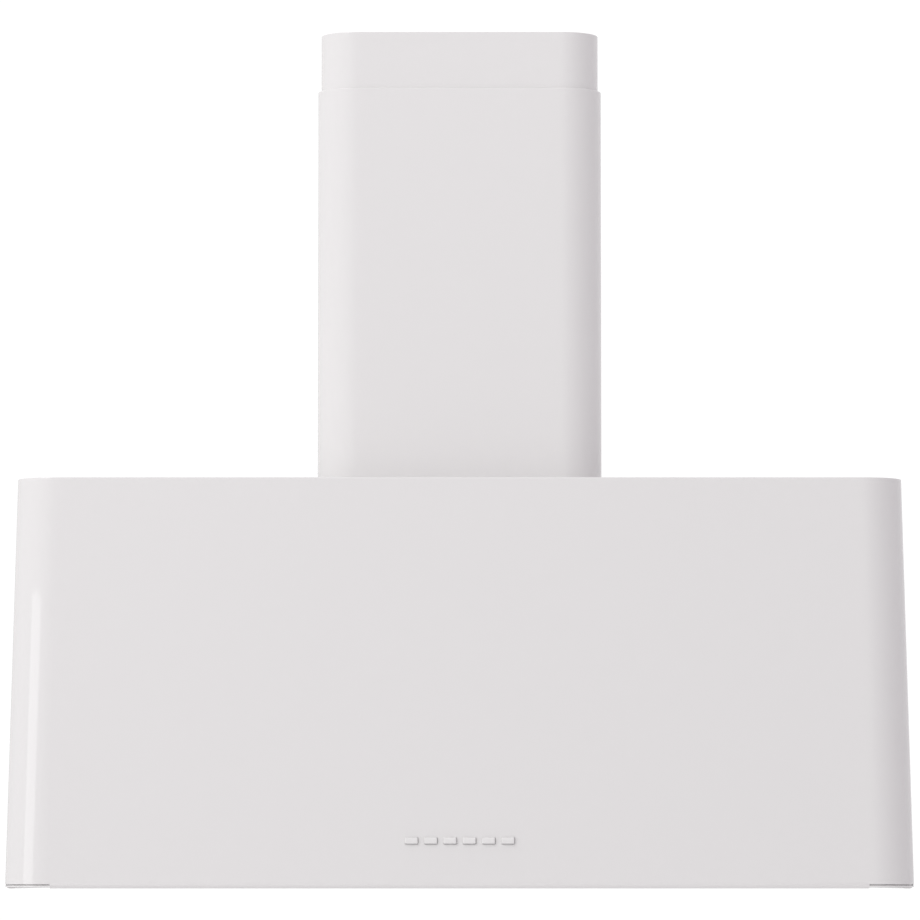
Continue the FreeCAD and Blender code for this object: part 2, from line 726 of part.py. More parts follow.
def flue_screw(name, side, y, z, extra):
    """A countersunk screw whose head is flush with the flue's face, or its hole when grown by extra."""
    face, small, large = upper_flue_width / 2, small_screw_radius + 0.8, 2 * small_screw_radius
    radii = (large + extra, small + extra) if side < 0 else (small + extra, large + extra)
    head_start = -face if side < 0 else face - flue_sheet
    shank_start = -face if side < 0 else face - 8
    head = cone(name + "_head", radii, (head_start, y, z), flue_sheet, "x")
    shank = cylinder(name + "_shank", small_screw_radius + extra, (shank_start, y, z), 8, "x")
    return fuse(name, [head, shank])


def make_flue_screws():
    """Countersunk screws that hold the upper flue to the ceiling plate's flanges."""
    screws = []
    for number, (side, y, z) in enumerate(flue_screw_places()):
        whole = flue_screw(f"flue_screw_whole_{number}", side, y, z, 0)
        key_start = span(side, upper_flue_width / 2 - 1, upper_flue_width / 2)[0]
        key = hexagon(f"flue_screw_key_{number}", 1.25 * small_screw_radius, (key_start, y, z), 1, "x")
        screws.append(cut(f"flue_screw_{number}", whole, [key]))
    node("upper_flue_screws", group("upper_flue_screws", screws))


# ---------------------------------------------------------------- ceiling plate and telescopic frame


def make_ceiling_plate():
    body = new_body("ceiling_plate")
    half = upper_inside_half - plate_clearance
    corner = upper_inside_corner - plate_clearance
    outline = sketch(body, "plate_outline", (0, 0, -plate_sheet))
    pad(body, "plate_pad", rounded_rectangle(outline, 2 * half, 2 * half, corner), plate_sheet)
    for side, name in ((-1, "left"), (1, "right")):
        at = (side * (half - plate_sheet / 2), 0, -plate_flange)
        drawing = rectangle(sketch(body, f"flange_{name}_outline", at), plate_sheet, plate_flange_width)
        pad(body, f"flange_{name}", drawing, plate_flange - plate_sheet / 2)
    duct = circles(sketch(body, "plate_duct"), duct_hole_radius, [(0, 0)])
    pocket(body, "plate_duct_hole", duct, plate_sheet)
    reach = ceiling_bolt_spacing / 2
    corners = [(x * reach, y * reach) for x in (-1, 1) for y in (-1, 1)]
    bolts = circles(sketch(body, "plate_bolts"), ceiling_bolt_radius, corners)
    pocket(body, "plate_bolt_holes", bolts, plate_sheet)
    drawing = sketch(body, "plate_screw_outline", (0, 0, half + 5), "YZ_Plane")
    circles(drawing, small_hole_radius, [(y, z) for side, y, z in flue_screw_places() if side > 0])
    pocket(body, "plate_screw_holes", drawing, 2 * half + 10)
    node("ceiling_plate", body)


UPRIGHTS = {"front_left": (-1, -1), "front_right": (1, -1), "rear_left": (-1, 1), "rear_right": (1, 1)}
frame_screw_y = frame_half - lower_leg / 2


def span(side, near, far):
    """The low and high end of a span given by its distances from the middle, on one side."""
    return (near, far) if side > 0 else (-far, -near)


def angle_bar(name, side_x, side_y, corner, leg, low, high):
    """An upright of angle section with its outer corner at (corner, corner) on the given sides."""
    x0, x1 = span(side_x, corner - leg, corner)
    y0, y1 = span(side_y, corner - leg, corner)
    whole = box(name + "_block", (x0, y0, low), (x1, y1, high))
    x0, x1 = span(side_x, corner - leg - 1, corner - plate_sheet)
    y0, y1 = span(side_y, corner - leg - 1, corner - plate_sheet)
    return whole, box(name + "_inside", (x0, y0, low - 1), (x1, y1, high + 1))


def frame_screw_levels():
    top = base_top + lower_upright_length - frame_screw_drop
    return [top, top - frame_screw_pitch]


def make_uprights():
    """Lower uprights stand on the base plate; slotted upper uprights hang inside them."""
    for name, (sx, sy) in UPRIGHTS.items():
        low, high = base_top, base_top + lower_upright_length
        whole, inside = angle_bar(f"lower_{name}", sx, sy, frame_half, lower_leg, low, high)
        start = span(sx, frame_half - lower_leg, frame_half + 1)[0]
        holes = [
            cylinder(
                f"lower_{name}_hole_{number}",
                frame_screw_radius + 0.3,
                (start, sy * frame_screw_y, level),
                lower_leg + 1,
                "x",
            )
            for number, level in enumerate(frame_screw_levels())
        ]
        node(f"lower_upright_{name}", cut(f"lower_upright_{name}", whole, [inside, *holes]))

        low, high = -plate_sheet - upper_upright_length, -plate_sheet
        whole, inside = angle_bar(f"upper_{name}", sx, sy, upper_frame_half, upper_leg, low, high)
        x0, x1 = span(sx, upper_frame_half - upper_leg, upper_frame_half + 1)
        y0, y1 = span(sy, frame_screw_y - slot_width / 2, frame_screw_y + slot_width / 2)
        top = frame_screw_levels()[0] + slot_width / 2
        slot = box(f"upper_{name}_slot", (x0, y0, low + slot_margin), (x1, y1, top))
        node(f"upper_upright_{name}", cut(f"upper_upright_{name}", whole, [inside, slot]))


def make_frame_plates():
    """The base plate on the deck, and the brace that joins the upper uprights' lower ends."""
    base = box(
        "base_block",
        (-frame_half, -frame_half, canopy_top),
        (frame_half, frame_half, base_top),
    )
    holes = [cylinder("base_duct_hole", base_hole_radius, (0, 0, canopy_top - 1), plate_sheet + 2)]
    for number, (x, y) in enumerate(base_bolts()):
        start = (x, y, canopy_top - 1)
        holes.append(cylinder(f"base_bolt_hole_{number}", frame_screw_radius + 0.3, start, plate_sheet + 2))
    start = (0, gland_y, canopy_top - 1)
    holes.append(cylinder("base_gland_hole", gland_thread + 0.3, start, plate_sheet + 2))
    node("frame_base_plate", cut("frame_base_plate", base, holes))

    half = upper_frame_half - plate_sheet
    low = -plate_sheet - upper_upright_length
    ring = box("brace_block", (-half, -half, low), (half, half, low + plate_sheet))
    window = half - brace_width
    hole = box("brace_window", (-window, -window, low - 1), (window, window, low + plate_sheet + 1))
    node("upper_frame_brace", cut("upper_frame_brace", ring, [hole]))


def base_bolts():
    """Two bolts near each corner of the base plate, clear of the uprights."""
    far = frame_half - lower_leg - 8
    near = frame_half - 12
    return [(sx * x, sy * y) for sx in (-1, 1) for sy in (-1, 1) for x, y in ((far, near), (near, far))]


def screw(name, start, grip, axis, side=1):
    """A hexagon screw with its nut: the head's underside at start, the shank along side * axis."""
    x, y, z = start
    head, nut, shank = 4, 5, float(grip) + 8

    def moved(amount):
        return (x + amount, y, z) if axis == "x" else (x, y, z + amount)

    flats = 10 * frame_screw_radius / 3
    head_start = moved(-head) if side > 0 else moved(0)
    nut_start = moved(grip) if side > 0 else moved(-grip - nut)
    shank_start = moved(0) if side > 0 else moved(-shank)
    parts = [
        hexagon(name + "_head", flats, head_start, head, axis),
        hexagon(name + "_nut", flats, nut_start, nut, axis),
        cylinder(name + "_shank", frame_screw_radius, shank_start, shank, axis),
    ]
    return fuse(name, parts)


def make_frame_screws():
    """Screws that clamp the uprights together, and those that hold the base plate to the deck."""
    screws = []
    grip = 2 * plate_sheet + angle_gap + 0.15
    for name, (sx, sy) in UPRIGHTS.items():
        for number, level in enumerate(frame_screw_levels()):
            start = (sx * frame_half, sy * frame_screw_y, level)
            screws.append(screw(f"frame_screw_{name}_{number}", start, grip, "x", -sx))
    for number, (x, y) in enumerate(base_bolts()):
        grip = plate_sheet + deck_sheet
        screws.append(screw(f"base_screw_{number}", (x, y, base_top), grip, "z", -1))
    node("frame_screws", group("frame_screws", screws))


# ---------------------------------------------------------------- mains inlet and electrics


def make_cable_gland():
    """The mains inlet: a hexagon flange on the base plate, a domed nut above, a lock nut under the deck."""
    flats = 2.4 * gland_thread
    flange = hexagon("gland_flange", flats, (0, gland_y, base_top), 6)
    dome = cone("gland_dome", (1.1 * gland_thread, 0.75 * gland_thread), (0, gland_y, base_top + 6), 14)
    thread = cylinder("gland_shank", gland_thread, (0, gland_y, deck_under - 8), base_top - deck_under + 8)
    lock = hexagon("gland_lock", flats, (0, gland_y, deck_under - 5), 5)
    bore = cylinder("gland_bore", gland_bore, (0, gland_y, deck_under - 9), 60)
    whole = fuse("gland_whole", [flange, dome, thread, lock])
    node("cable_gland", cut("cable_gland", whole, [bore]))


def make_electrics():
    """The junction box under the deck and the motor's capacitor below it."""
    low = deck_under - 45
    left, front = housing_width / 2 + 62, 20
    right, back = left + 120, front + 90
    block = box("junction_block", (left, front, low), (right, back, deck_under))
    rebate = box("junction_rebate", (left - 1, front - 1, low + 8), (right + 1, front + 1.5, low + 9))
    middle = front + 45
    knock_out = cylinder("junction_entry", 8, (left - 1, middle, low + 26), 4, "x")
    node("junction_box", cut("junction_box", block, [rebate, knock_out]))
    can = cylinder("capacitor_can", 17, (left + 40, middle, low - 60), 60)
    terminal = cylinder("capacitor_terminal", 4, (left + 40, middle, low - 66), 6)
    node("capacitor", fuse("capacitor", [can, terminal]))


# ---------------------------------------------------------------- outlet and damper


def make_outlet_adapter():
    """The flange under the deck, with a skirt round the blower's mouth and a round hole for the collar."""
    body = new_body("outlet_adapter")
    under = deck_under - outlet_flange_sheet
    plate = rounded_rectangle(sketch(body, "outlet_plate", (0, 0, under)), outlet_flange, outlet_flange, 10)
    pad(body, "outlet_plate_pad", plate, outlet_flange_sheet)
    wall = 2 * (housing_wall + 0.4)
    width, depth = housing_width + 0.8, outlet_depth + wall
    skirt_low = under - skirt_height
    skirt = rectangle(sketch(body, "skirt_outline", (0, 0, skirt_low)), width + 4, depth + 4)
    pad(body, "skirt_pad", skirt, skirt_height)
    mouth = rectangle(sketch(body, "mouth_outline", (0, 0, skirt_low)), width, depth)
    pocket(body, "mouth_hollow", mouth, skirt_height, upwards=True)
    hole = circles(sketch(body, "outlet_hole_outline", (0, 0, deck_under)), collar_radius + 0.1, [(0, 0)])
    pocket(body, "outlet_hole", hole, outlet_flange_sheet + skirt_height)
    screws = sketch(body, "outlet_screws", (0, 0, deck_under))
    circles(screws, small_hole_radius, flange_screw_places())
    pocket(body, "outlet_screw_holes", screws, outlet_flange_sheet)
    drawing = sketch(body, "skirt_screws", (0, 0, width / 2 + 7), "YZ_Plane")
    pocket(body, "skirt_screw_holes", circles(drawing, small_hole_radius, skirt_screw_places()), width + 14)
    node("outlet_adapter", body)


def make_duct_collar():
    """The ring that the duct slides over: a foot on the outlet's flange, a ledge for the flaps, rod holes."""
    body = new_body("duct_collar")
    under = deck_under - outlet_flange_sheet
    ring = circles(sketch(body, "collar_outline", (0, 0, under)), collar_radius, [(0, 0)])
    pad(body, "collar_pad", ring, collar_top - under)
    foot_radius = collar_radius + collar_clearance - 0.5
    foot = circles(sketch(body, "collar_foot_outline", (0, 0, deck_under)), foot_radius, [(0, 0)])
    pad(body, "collar_foot", foot, deck_sheet)
    lower = circles(sketch(body, "ledge_outline", (0, 0, under)), collar_bore - 4, [(0, 0)])
    pocket(body, "ledge_bore", lower, damper_level - under, upwards=True)
    upper = circles(sketch(body, "bore_outline", (0, 0, collar_top)), collar_bore, [(0, 0)])
    pocket(body, "collar_hollow", upper, collar_top - ledge_top)
    for name, side in (("front", -1), ("rear", 1)):
        at = (side * damper_rod_offset, damper_level, collar_radius + 5)
        rods = sketch(body, f"rod_{name}_outline", at, "YZ_Plane")
        circles(rods, damper_rod_radius + 0.15, [(0, 0)])
        pocket(body, f"rod_{name}_holes", rods, 2 * collar_radius + 10)
    node("duct_collar", body)


def flange_screw_places():
    """(x, y) of the screws that hold the outlet's flange under the deck."""
    reach = outlet_flange / 2 - 13
    return [(x * reach, y * reach) for x in (-1, 1) for y in (-1, 1)]


def skirt_screw_places():
    """(y, z) of the screws through the skirt's left and right sides into the housing."""
    level = deck_under - outlet_flange_sheet - skirt_height / 2
    return [(-outlet_depth / 4, level), (outlet_depth / 4, level)]


damper_level = collar_top - damper_drop
ledge_top = damper_level - damper_rod_radius - 0.3


def make_damper_flaps():
    """Two half discs, each on its own rod across the collar."""
    radius = collar_bore - flap_clearance
    low = damper_level - damper_rod_radius
    for name, side in (("front", -1), ("rear", 1)):
        disc = cylinder(f"flap_{name}_disc", radius, (0, 0, low), flap_sheet)
        y0, y1 = span(side, damper_rod_offset, collar_radius)
        half = box(f"flap_{name}_half", (-collar_radius, y0, low - 1), (collar_radius, y1, low + 5))
        leaf = doc.addObject("Part::Common", f"flap_{name}_leaf")
        leaf.Base, leaf.Tool = disc, half
        reach = collar_radius - 0.2
        start = (-reach, side * damper_rod_offset, damper_level)
        rod = cylinder(f"flap_{name}_rod", damper_rod_radius, start, 2 * reach, "x")
        node(f"damper_flap_{name}", fuse(f"damper_flap_{name}", [leaf, rod]))


# ---------------------------------------------------------------- blower


def scroll_face(extra):
    """The scroll's inside, grown by extra, as a face in the YZ plane with the blower's axis at the origin."""
    step, first = float(scroll_step), float(scroll_radius)
    half = step / 2
    centres = [(-half, half), (-half, -half), (half, -half), (half, half)]
    radii = [first + quarter * step + extra for quarter in range(4)]
    mouth_in = -float(outlet_depth) / 2 - float(blower_y) - extra
    mouth_out = float(outlet_depth) / 2 - float(blower_y) + extra
    top = float(mouth_top - blower_level)
    y0, z0 = centres[0]
    tongue = z0 + math.sqrt(radii[0] ** 2 - (mouth_in - y0) ** 2)

    def arc(quarter, start_angle, end_angle):
        y, z = centres[quarter]
        middle = (start_angle + end_angle) / 2
        spots = [
            FreeCAD.Vector(0, y + radii[quarter] * math.cos(a), z + radii[quarter] * math.sin(a))
            for a in (start_angle, middle, end_angle)
        ]
        return Part.Arc(*spots).toShape()

    start = math.atan2(tongue - z0, mouth_in - y0)
    edges = [
        Part.makeLine(FreeCAD.Vector(0, mouth_in, top), FreeCAD.Vector(0, mouth_in, tongue)),
        arc(0, start, math.pi / 2),
        arc(1, math.pi / 2, math.pi),
        arc(2, math.pi, 3 * math.pi / 2),
        arc(3, 3 * math.pi / 2, 2 * math.pi),
        Part.makeLine(FreeCAD.Vector(0, mouth_out, centres[3][1]), FreeCAD.Vector(0, mouth_out, top)),
        Part.makeLine(FreeCAD.Vector(0, mouth_out, top), FreeCAD.Vector(0, mouth_in, top)),
    ]
    return Part.Face(Part.Wire(edges))


def make_blower_housing():
    """The two halves of the scroll, which meet at X = 0."""
    half, wall = float(housing_width) / 2, float(housing_wall)
    for name, side in (("left", -1), ("right", 1)):
        outer = scroll_face(wall).extrude(FreeCAD.Vector(side * half, 0, 0))
        inner = scroll_face(0).extrude(FreeCAD.Vector(side * (half - wall), 0, 0))
        axis = FreeCAD.Vector(side, 0, 0)
        inlet = Part.makeCylinder(float(inlet_radius), half + 10, FreeCAD.Vector(), axis)
        lip_at = FreeCAD.Vector(side * (half - wall - 6), 0, 0)
        lip = Part.makeCylinder(float(inlet_radius) + wall, 6 + wall, lip_at, axis)
        drills = [drill(x, y, z, side) for x, y, z in housing_screw_places(side)]
        shell = outer.cut(inner).fuse(lip).cut([inlet, *drills]).removeSplitter()
        thing = fixed(f"blower_housing_{name}", shell.Solids[0], (0, blower_y, blower_level))
        node(f"blower_housing_{name}", thing)


def bracket_screw_places():
    """(y, z) of the screws round the right-hand inlet, from the blower's axis."""
    radius = float(inlet_radius) + 5
    return [(radius * math.sin(a), radius * math.cos(a)) for a in (math.pi / 3, math.pi, 5 * math.pi / 3)]


def housing_screw_places(side):
    """Where a housing half is drilled for its screws, from the blower's axis."""
    x = side * float(housing_width) / 2
    places = [(x, float(y - blower_y), float(z - blower_level)) for y, z in skirt_screw_places()]
    if side > 0:
        places += [(x, y, z) for y, z in bracket_screw_places()]
    return places


def drill(x, y, z, side):
    """A hole along X through the housing's side wall."""
    start, along = FreeCAD.Vector(x + 2 * side, y, z), FreeCAD.Vector(-side, 0, 0)
    return Part.makeCylinder(float(small_hole_radius), float(housing_wall) + 3, start, along)


def make_blower_screws():
    """Identical pan-head screws: outlet to deck, outlet to housing, and bracket to housing."""
    screws = []
    for number, (x, y) in enumerate(flange_screw_places()):
        length = outlet_flange_sheet + deck_sheet - 0.2
        screws.append(pan_screw(f"outlet_screw_{number}", (x, y, deck_under - outlet_flange_sheet), length))
    skirt_face = housing_width / 2 + 2.4
    for side in (-1, 1):
        for number, (y, z) in enumerate(skirt_screw_places()):
            name = f"skirt_screw_{'left' if side < 0 else 'right'}_{number}"
            screws.append(pan_screw(name, (side * skirt_face, y, z), 7, "x", -side))
    for number, (y, z) in enumerate(bracket_screw_places()):
        start = (housing_width / 2 + plate_sheet, blower_y + y, blower_level + z)
        screws.append(pan_screw(f"bracket_screw_{number}", start, 6, "x", -1))
    node("blower_screws", group("blower_screws", screws))


def make_impeller():
    """A double-inlet wheel: forward-curved blades between two end rings, on a middle disc with a hub."""
    outer, inner = float(impeller_radius), float(impeller_radius - blade_depth)
    half, thick = float(impeller_width) / 2, 1.2
    along = FreeCAD.Vector(1, 0, 0)

    def disc(radius, start, length):
        return Part.makeCylinder(radius, length, FreeCAD.Vector(start, 0, 0), along)

    def at(radius, angle):
        return FreeCAD.Vector(-half, radius * math.cos(angle), radius * math.sin(angle))

    def blade(turn):
        """A bent strip between the inner and the outer radius, as thick as the sheet."""
        spots = []
        for radius, bend in ((inner + 0.5, 0.0), ((inner + outer) / 2, 0.05), (outer - 0.5, 0.16)):
            spots.append((radius, turn + bend))
        front = [at(r, a) for r, a in spots]
        back = [at(r, a + thick / r) for r, a in spots]
        edges = [
            Part.Arc(*front).toShape(),
            Part.makeLine(front[2], back[2]),
            Part.Arc(back[2], back[1], back[0]).toShape(),
            Part.makeLine(back[0], front[0]),
        ]
        return Part.Face(Part.Wire(edges)).extrude(along * 2 * half)

    rings = [disc(outer, x, 2).cut(disc(inner, x, 2)) for x in (-half, half - 2)]
    web = disc(outer - 1, -3, 2).fuse(disc(12, -14, 18))
    blades = [blade(2 * math.pi * number / BLADES) for number in range(BLADES)]
    wheel = web.fuse(rings + blades).cut(disc(float(shaft_radius), -20, 40)).removeSplitter()
    node("impeller", fixed("impeller", wheel.Solids[0], (0, blower_y, blower_level)))


def make_motor():
    """The motor hangs inside the right-hand inlet from a three-armed bracket."""
    back = housing_width / 2
    front = back - motor_length
    bore = shaft_radius + 0.1
    groove = motor_radius - 1.5
    outline = [
        (bore, 0),
        (motor_radius - 4, 0),
        (motor_radius, 4),
        (motor_radius, motor_length / 2 - 2),
        (groove, motor_length / 2 - 2),
        (groove, motor_length / 2 + 2),
        (motor_radius, motor_length / 2 + 2),
        (motor_radius, motor_length),
        (0, motor_length),
        (0, 12),
        (bore, 12),
    ]
    node("motor", turned("motor", outline, (front, blower_y, blower_level), "x"))
    start = (front - 24, blower_y, blower_level)
    node("motor_shaft", cylinder("motor_shaft", shaft_radius, start, 35, "x"))

    rim = float(inlet_radius)
    along = FreeCAD.Vector(1, 0, 0)

    def disc(radius):
        return Part.makeCylinder(radius, float(plate_sheet), FreeCAD.Vector(), along)

    ring = disc(rim + 9).cut(disc(rim + 1))
    arms = []
    for number in range(3):
        arm = Part.makeBox(float(plate_sheet), 14, rim + 4, FreeCAD.Vector(0, -7, 0))
        arm.rotate(FreeCAD.Vector(), along, 120 * number)
        arms.append(arm)
    holes = [
        Part.makeCylinder(float(small_hole_radius), 4, FreeCAD.Vector(-1, y, z), along)
        for y, z in bracket_screw_places()
    ]
    spider = ring.fuse(arms + [disc(float(motor_radius) * 0.7)]).cut(holes).removeSplitter()
    node("motor_bracket", fixed("motor_bracket", spider.Solids[0], (back, blower_y, blower_level)))


# ---------------------------------------------------------------- controls

skin_back = skin_front(button_level) + skin_sheet
button_face = skin_front(button_level) - button_proud
shoulder_front = skin_back + button_clearance
shoulder_back = shoulder_front + 1.5
carrier_front = shoulder_back + button_travel + button_clearance
carrier_plate = 6
button_back = carrier_front + carrier_plate + 1.5
switch_front = button_back + button_travel + 1
board_front = switch_front + 9
button_z = canopy_bottom + button_level
carrier_half = button_x(len(BUTTONS) - 1) + button_pitch
carrier_stud_x = carrier_half + 8
STEM = 4


def make_buttons():
    """Each cap has a shoulder that stops it behind the skin, and a stem that enters its switch."""
    for number, name in enumerate(BUTTONS):
        x, half, up = button_x(number), button_width / 2, button_height / 2
        low = (x - half, button_face, button_z - up)
        high = (x + half, button_back, button_z + up)
        cap = box(f"{name}_cap", low, high)
        low = (x - half - 2, shoulder_front, button_z - up - 1.75)
        high = (x + half + 2, shoulder_back, button_z + up + 1.75)
        shoulder = box(f"{name}_shoulder", low, high)
        low = (x - STEM / 2, button_back - 1, button_z - STEM / 2)
        high = (x + STEM / 2, switch_front + 3, button_z + STEM / 2)
        stem = box(f"{name}_stem", low, high)
        node(f"{name}_button", fuse(f"{name}_button", [cap, shoulder, stem]))


def make_button_carrier():
    """The moulding behind the skin that guides the buttons, holds the board and hangs on two studs."""
    up = carrier_up
    inner, clear = carrier_half - 4, up - 3
    front = (carrier_half, board_front, button_z + up)
    parts = [box("carrier_block", (-carrier_half, shoulder_front, button_z - up), front)]
    for name, side in (("left", -1), ("right", 1)):
        x0, x1 = span(side, carrier_half - 2, carrier_half + 16)
        low, high = (x0, carrier_front, button_z - 7), (x1, carrier_front + 3, button_z + 7)
        parts.append(box(f"carrier_ear_{name}", low, high))
    lean = canopy_taper * up / canopy_height + 0.1
    cuts = [
        box(
            "carrier_front_cut",
            (-inner, shoulder_front - 1, button_z - clear),
            (inner, carrier_front, button_z + clear),
        ),
        box(
            "carrier_back_cut",
            (-inner, carrier_front + carrier_plate, button_z - clear),
            (inner, board_front + 1, button_z + clear),
        ),
    ]
    for side in (-1, 1):
        start = (side * carrier_stud_x, carrier_front - 1, button_z)
        cuts.append(cylinder(f"carrier_stud_hole_{side + 1}", stud_radius + 0.3, start, 5, "y"))
    for number, name in enumerate(BUTTONS):
        x, half = button_x(number), button_width / 2 + button_clearance
        low = (x - half, carrier_front - 1, button_z - button_height / 2 - button_clearance)
        high = (x + half, carrier_front + carrier_plate + 1, button_z + button_height / 2 + button_clearance)
        cuts.append(box(f"{name}_guide", low, high))
    hollowed = cut("carrier_hollowed", fuse("carrier_whole", parts), cuts)
    face = box(
        "carrier_face_cut",
        (-carrier_half - 1, shoulder_front - 1, button_z - up - 1),
        (carrier_half + 1, shoulder_front + lean, button_z + up + 1),
    )
    node("button_carrier", cut("button_carrier", hollowed, [face]))


def make_control_board():
    """The circuit board that closes the carrier's back, and the switches soldered to it."""
    low = (-carrier_half, board_front, button_z - carrier_up)
    board = box("board_plate", low, (carrier_half, board_front + 1.6, button_z + carrier_up))
    relay = box("board_relay", (-30, board_front + 1.6, button_z - 8), (-8, board_front + 15, button_z + 8))
    plug = box("board_socket", (14, board_front + 1.6, button_z - 4), (38, board_front + 11, button_z + 5))
    node("control_board", fuse("control_board", [board, relay, plug]))
    switches = []
    bore = STEM / 2 + 0.25
    for number, name in enumerate(BUTTONS):
        x = button_x(number)
        low, high = (x - 6, switch_front, button_z - 5), (x + 6, board_front, button_z + 5)
        case = box(f"{name}_switch_case", low, high)
        low = (x - bore, switch_front - 1, button_z - bore)
        high = (x + bore, switch_front + 3.5 + button_travel, button_z + bore)
        well = box(f"{name}_switch_well", low, high)
        switches.append(cut(f"{name}_switch", case, [well]))
    node("push_switches", group("push_switches", switches))


def coil(radius, wire, length, turns):
    """A round-wire spring along +Z, with its wire's middle at Z = 0 to start with."""
    run = length - wire
    helix = Part.makeHelix(run / turns, run, radius)
    ring = Part.Wire([Part.Circle(FreeCAD.Vector(radius, 0, 0), FreeCAD.Vector(0, 1, 0), wire / 2).toShape()])
    return Part.Wire(helix.Edges).makePipeShell([ring], True, True)


# ---------------------------------------------------------------- grease filters

filter_top = web_under + filter_height
pocket_front = filter_front + 4
pocket_back = filter_front + latch_border - 12
slider_front = pocket_front + 0.5
slider_back = pocket_back - latch_travel - 3.5
window_front = filter_front + latch_border
window_back = filter_back - filter_border
spring_level = web_under + 5
LATCH_HALF = 30
SPRING_X = 20
SPRING_RADIUS = 2.2
SPRING_WIRE = 0.5


def filter_x(number):
    return (number - (len(FILTERS) - 1) / 2) * (filter_width + filter_gap)


def make_filter_frame(name, x):
    """The channel round the baffles, with the latch's pocket in front and two lugs behind."""
    half = filter_width / 2
    inner = half - filter_border
    parts = [box(f"{name}_block", (x - half, filter_front, web_under), (x + half, filter_back, filter_top))]
    for side in (-1, 1):
        middle = x + side * (half - 40)
        low = (middle - 10, filter_back - 5, web_top + panel_clearance)
        high = (middle + 10, filter_back + filter_rear_gap + 7, web_top + panel_clearance + 1.5)
        parts.append(box(f"{name}_lug_{'left' if side < 0 else 'right'}", low, high))
    whole = fuse(f"{name}_whole", parts)
    level = web_under + 1.2
    cuts = [
        box(
            f"{name}_window",
            (x - inner, window_front, web_under - 1),
            (x + inner, window_back, filter_top + 1),
        ),
        box(
            f"{name}_groove",
            (x - inner - 4, window_front - 4, web_under + 1.2),
            (x + inner + 4, window_back + 4, filter_top - 1.2),
        ),
        box(
            f"{name}_latch_pocket",
            (x - LATCH_HALF - 6, pocket_front, web_under - 1),
            (x + LATCH_HALF + 6, pocket_back, filter_top - 3),
        ),
        box(
            f"{name}_latch_guide",
            (x - LATCH_HALF - 8.4, pocket_front, level + 1.9),
            (x + LATCH_HALF + 8.4, pocket_back, level + 5.1),
        ),
        box(
            f"{name}_tongue_slot",
            (x - 12.5, filter_front - 1, level - 0.1),
            (x + 12.5, pocket_front + 1, level + 2.7),
        ),
    ]
    for side in (-1, 1):
        start = (x + side * SPRING_X, pocket_back - 1, spring_level)
        well = cylinder(f"{name}_spring_well_{side + 1}", SPRING_RADIUS + 0.6, start, latch_travel + 2, "y")
        cuts.append(well)
    result = whole
    for number, tool in enumerate(cuts):
        result = cut(f"{name}_step_{number}", result, [tool])
    node(f"{name}_frame", result)


def channel(width, height, length, opens_up):
    """A bent strip along +Y: a web with two lips, centred on X, with its web's face at Z = 0."""
    sheet_half = float(baffle_sheet)
    block = Part.makeBox(width, length, height, FreeCAD.Vector(-width / 2, 0, 0))
    inside = Part.makeBox(
        width - 2 * sheet_half,
        length + 2,
        height,
        FreeCAD.Vector(-width / 2 + sheet_half, -1, sheet_half),
    )
    strip = block.cut(inside)
    if not opens_up:
        strip = strip.mirror(FreeCAD.Vector(), FreeCAD.Vector(0, 0, 1))
    return strip


def make_baffles(name, x):
    """A lower row of channels that open upwards, and an upper row that covers the gaps between them."""
    inner = float(filter_width / 2 - filter_border)
    pitch = 2 * inner / BAFFLES
    width = float(baffle_width)
    front, back = float(window_front) - 3, float(window_back) + 3
    low, high = float(web_under) + 1.5, float(filter_top) - 1.5
    rows = [(BAFFLES, low, True), (BAFFLES - 1, high, False)]
    strips = []
    for count, level, opens_up in rows:
        for number in range(count):
            strip = channel(width, 3.2, back - front, opens_up)
            middle = (number - (count - 1) / 2) * pitch
            strip.translate(FreeCAD.Vector(middle, front, level))
            strips.append(strip)
    node(f"{name}_baffles", fixed(f"{name}_baffles", Part.makeCompound(strips), (x, 0, 0)))


def make_latch(name, x):
    """A slider with two ears in the frame's guides, a tongue over the liner and a finger rib below."""
    level = web_top + panel_clearance
    slider = box(
        f"{name}_slider",
        (x - LATCH_HALF, slider_front, level),
        (x + LATCH_HALF, slider_back, filter_top - 3.5),
    )
    ears = box(
        f"{name}_ears",
        (x - LATCH_HALF - 8, slider_front, level + 1.8),
        (x + LATCH_HALF + 8, slider_back, level + 4.4),
    )
    tongue = box(f"{name}_tongue", (x - 12, opening_front - 6, level), (x + 12, slider_front, level + 2))
    rib = box(
        f"{name}_rib",
        (x - 24, slider_back - 4, web_under - 5),
        (x + 24, slider_back, level),
    )
    node(f"{name}_latch", fuse(f"{name}_latch", [slider, ears, tongue, rib]))


def make_latch_springs(name, x):
    """Two springs between the latch and the wells behind it, which push the tongue over the liner."""
    length = float(pocket_back - slider_back) + 1
    springs = []
    for side in (-1, 1):
        at = (x + side * SPRING_X, slider_back + SPRING_WIRE / 2, spring_level)
        spring = coil(SPRING_RADIUS - SPRING_WIRE / 2, SPRING_WIRE, length, 7)
        springs.append(fixed(f"{name}_spring_{side + 1}", spring, at, TURN["y"]))
    node(f"{name}_springs", group(f"{name}_springs", springs))


def make_filters():
    for number, side in enumerate(FILTERS):
        name, x = f"filter_{side}", filter_x(number)
        make_filter_frame(name, x)
        make_baffles(name, x)
        make_latch(name, x)
        make_latch_springs(name, x)


# ---------------------------------------------------------------- lamps


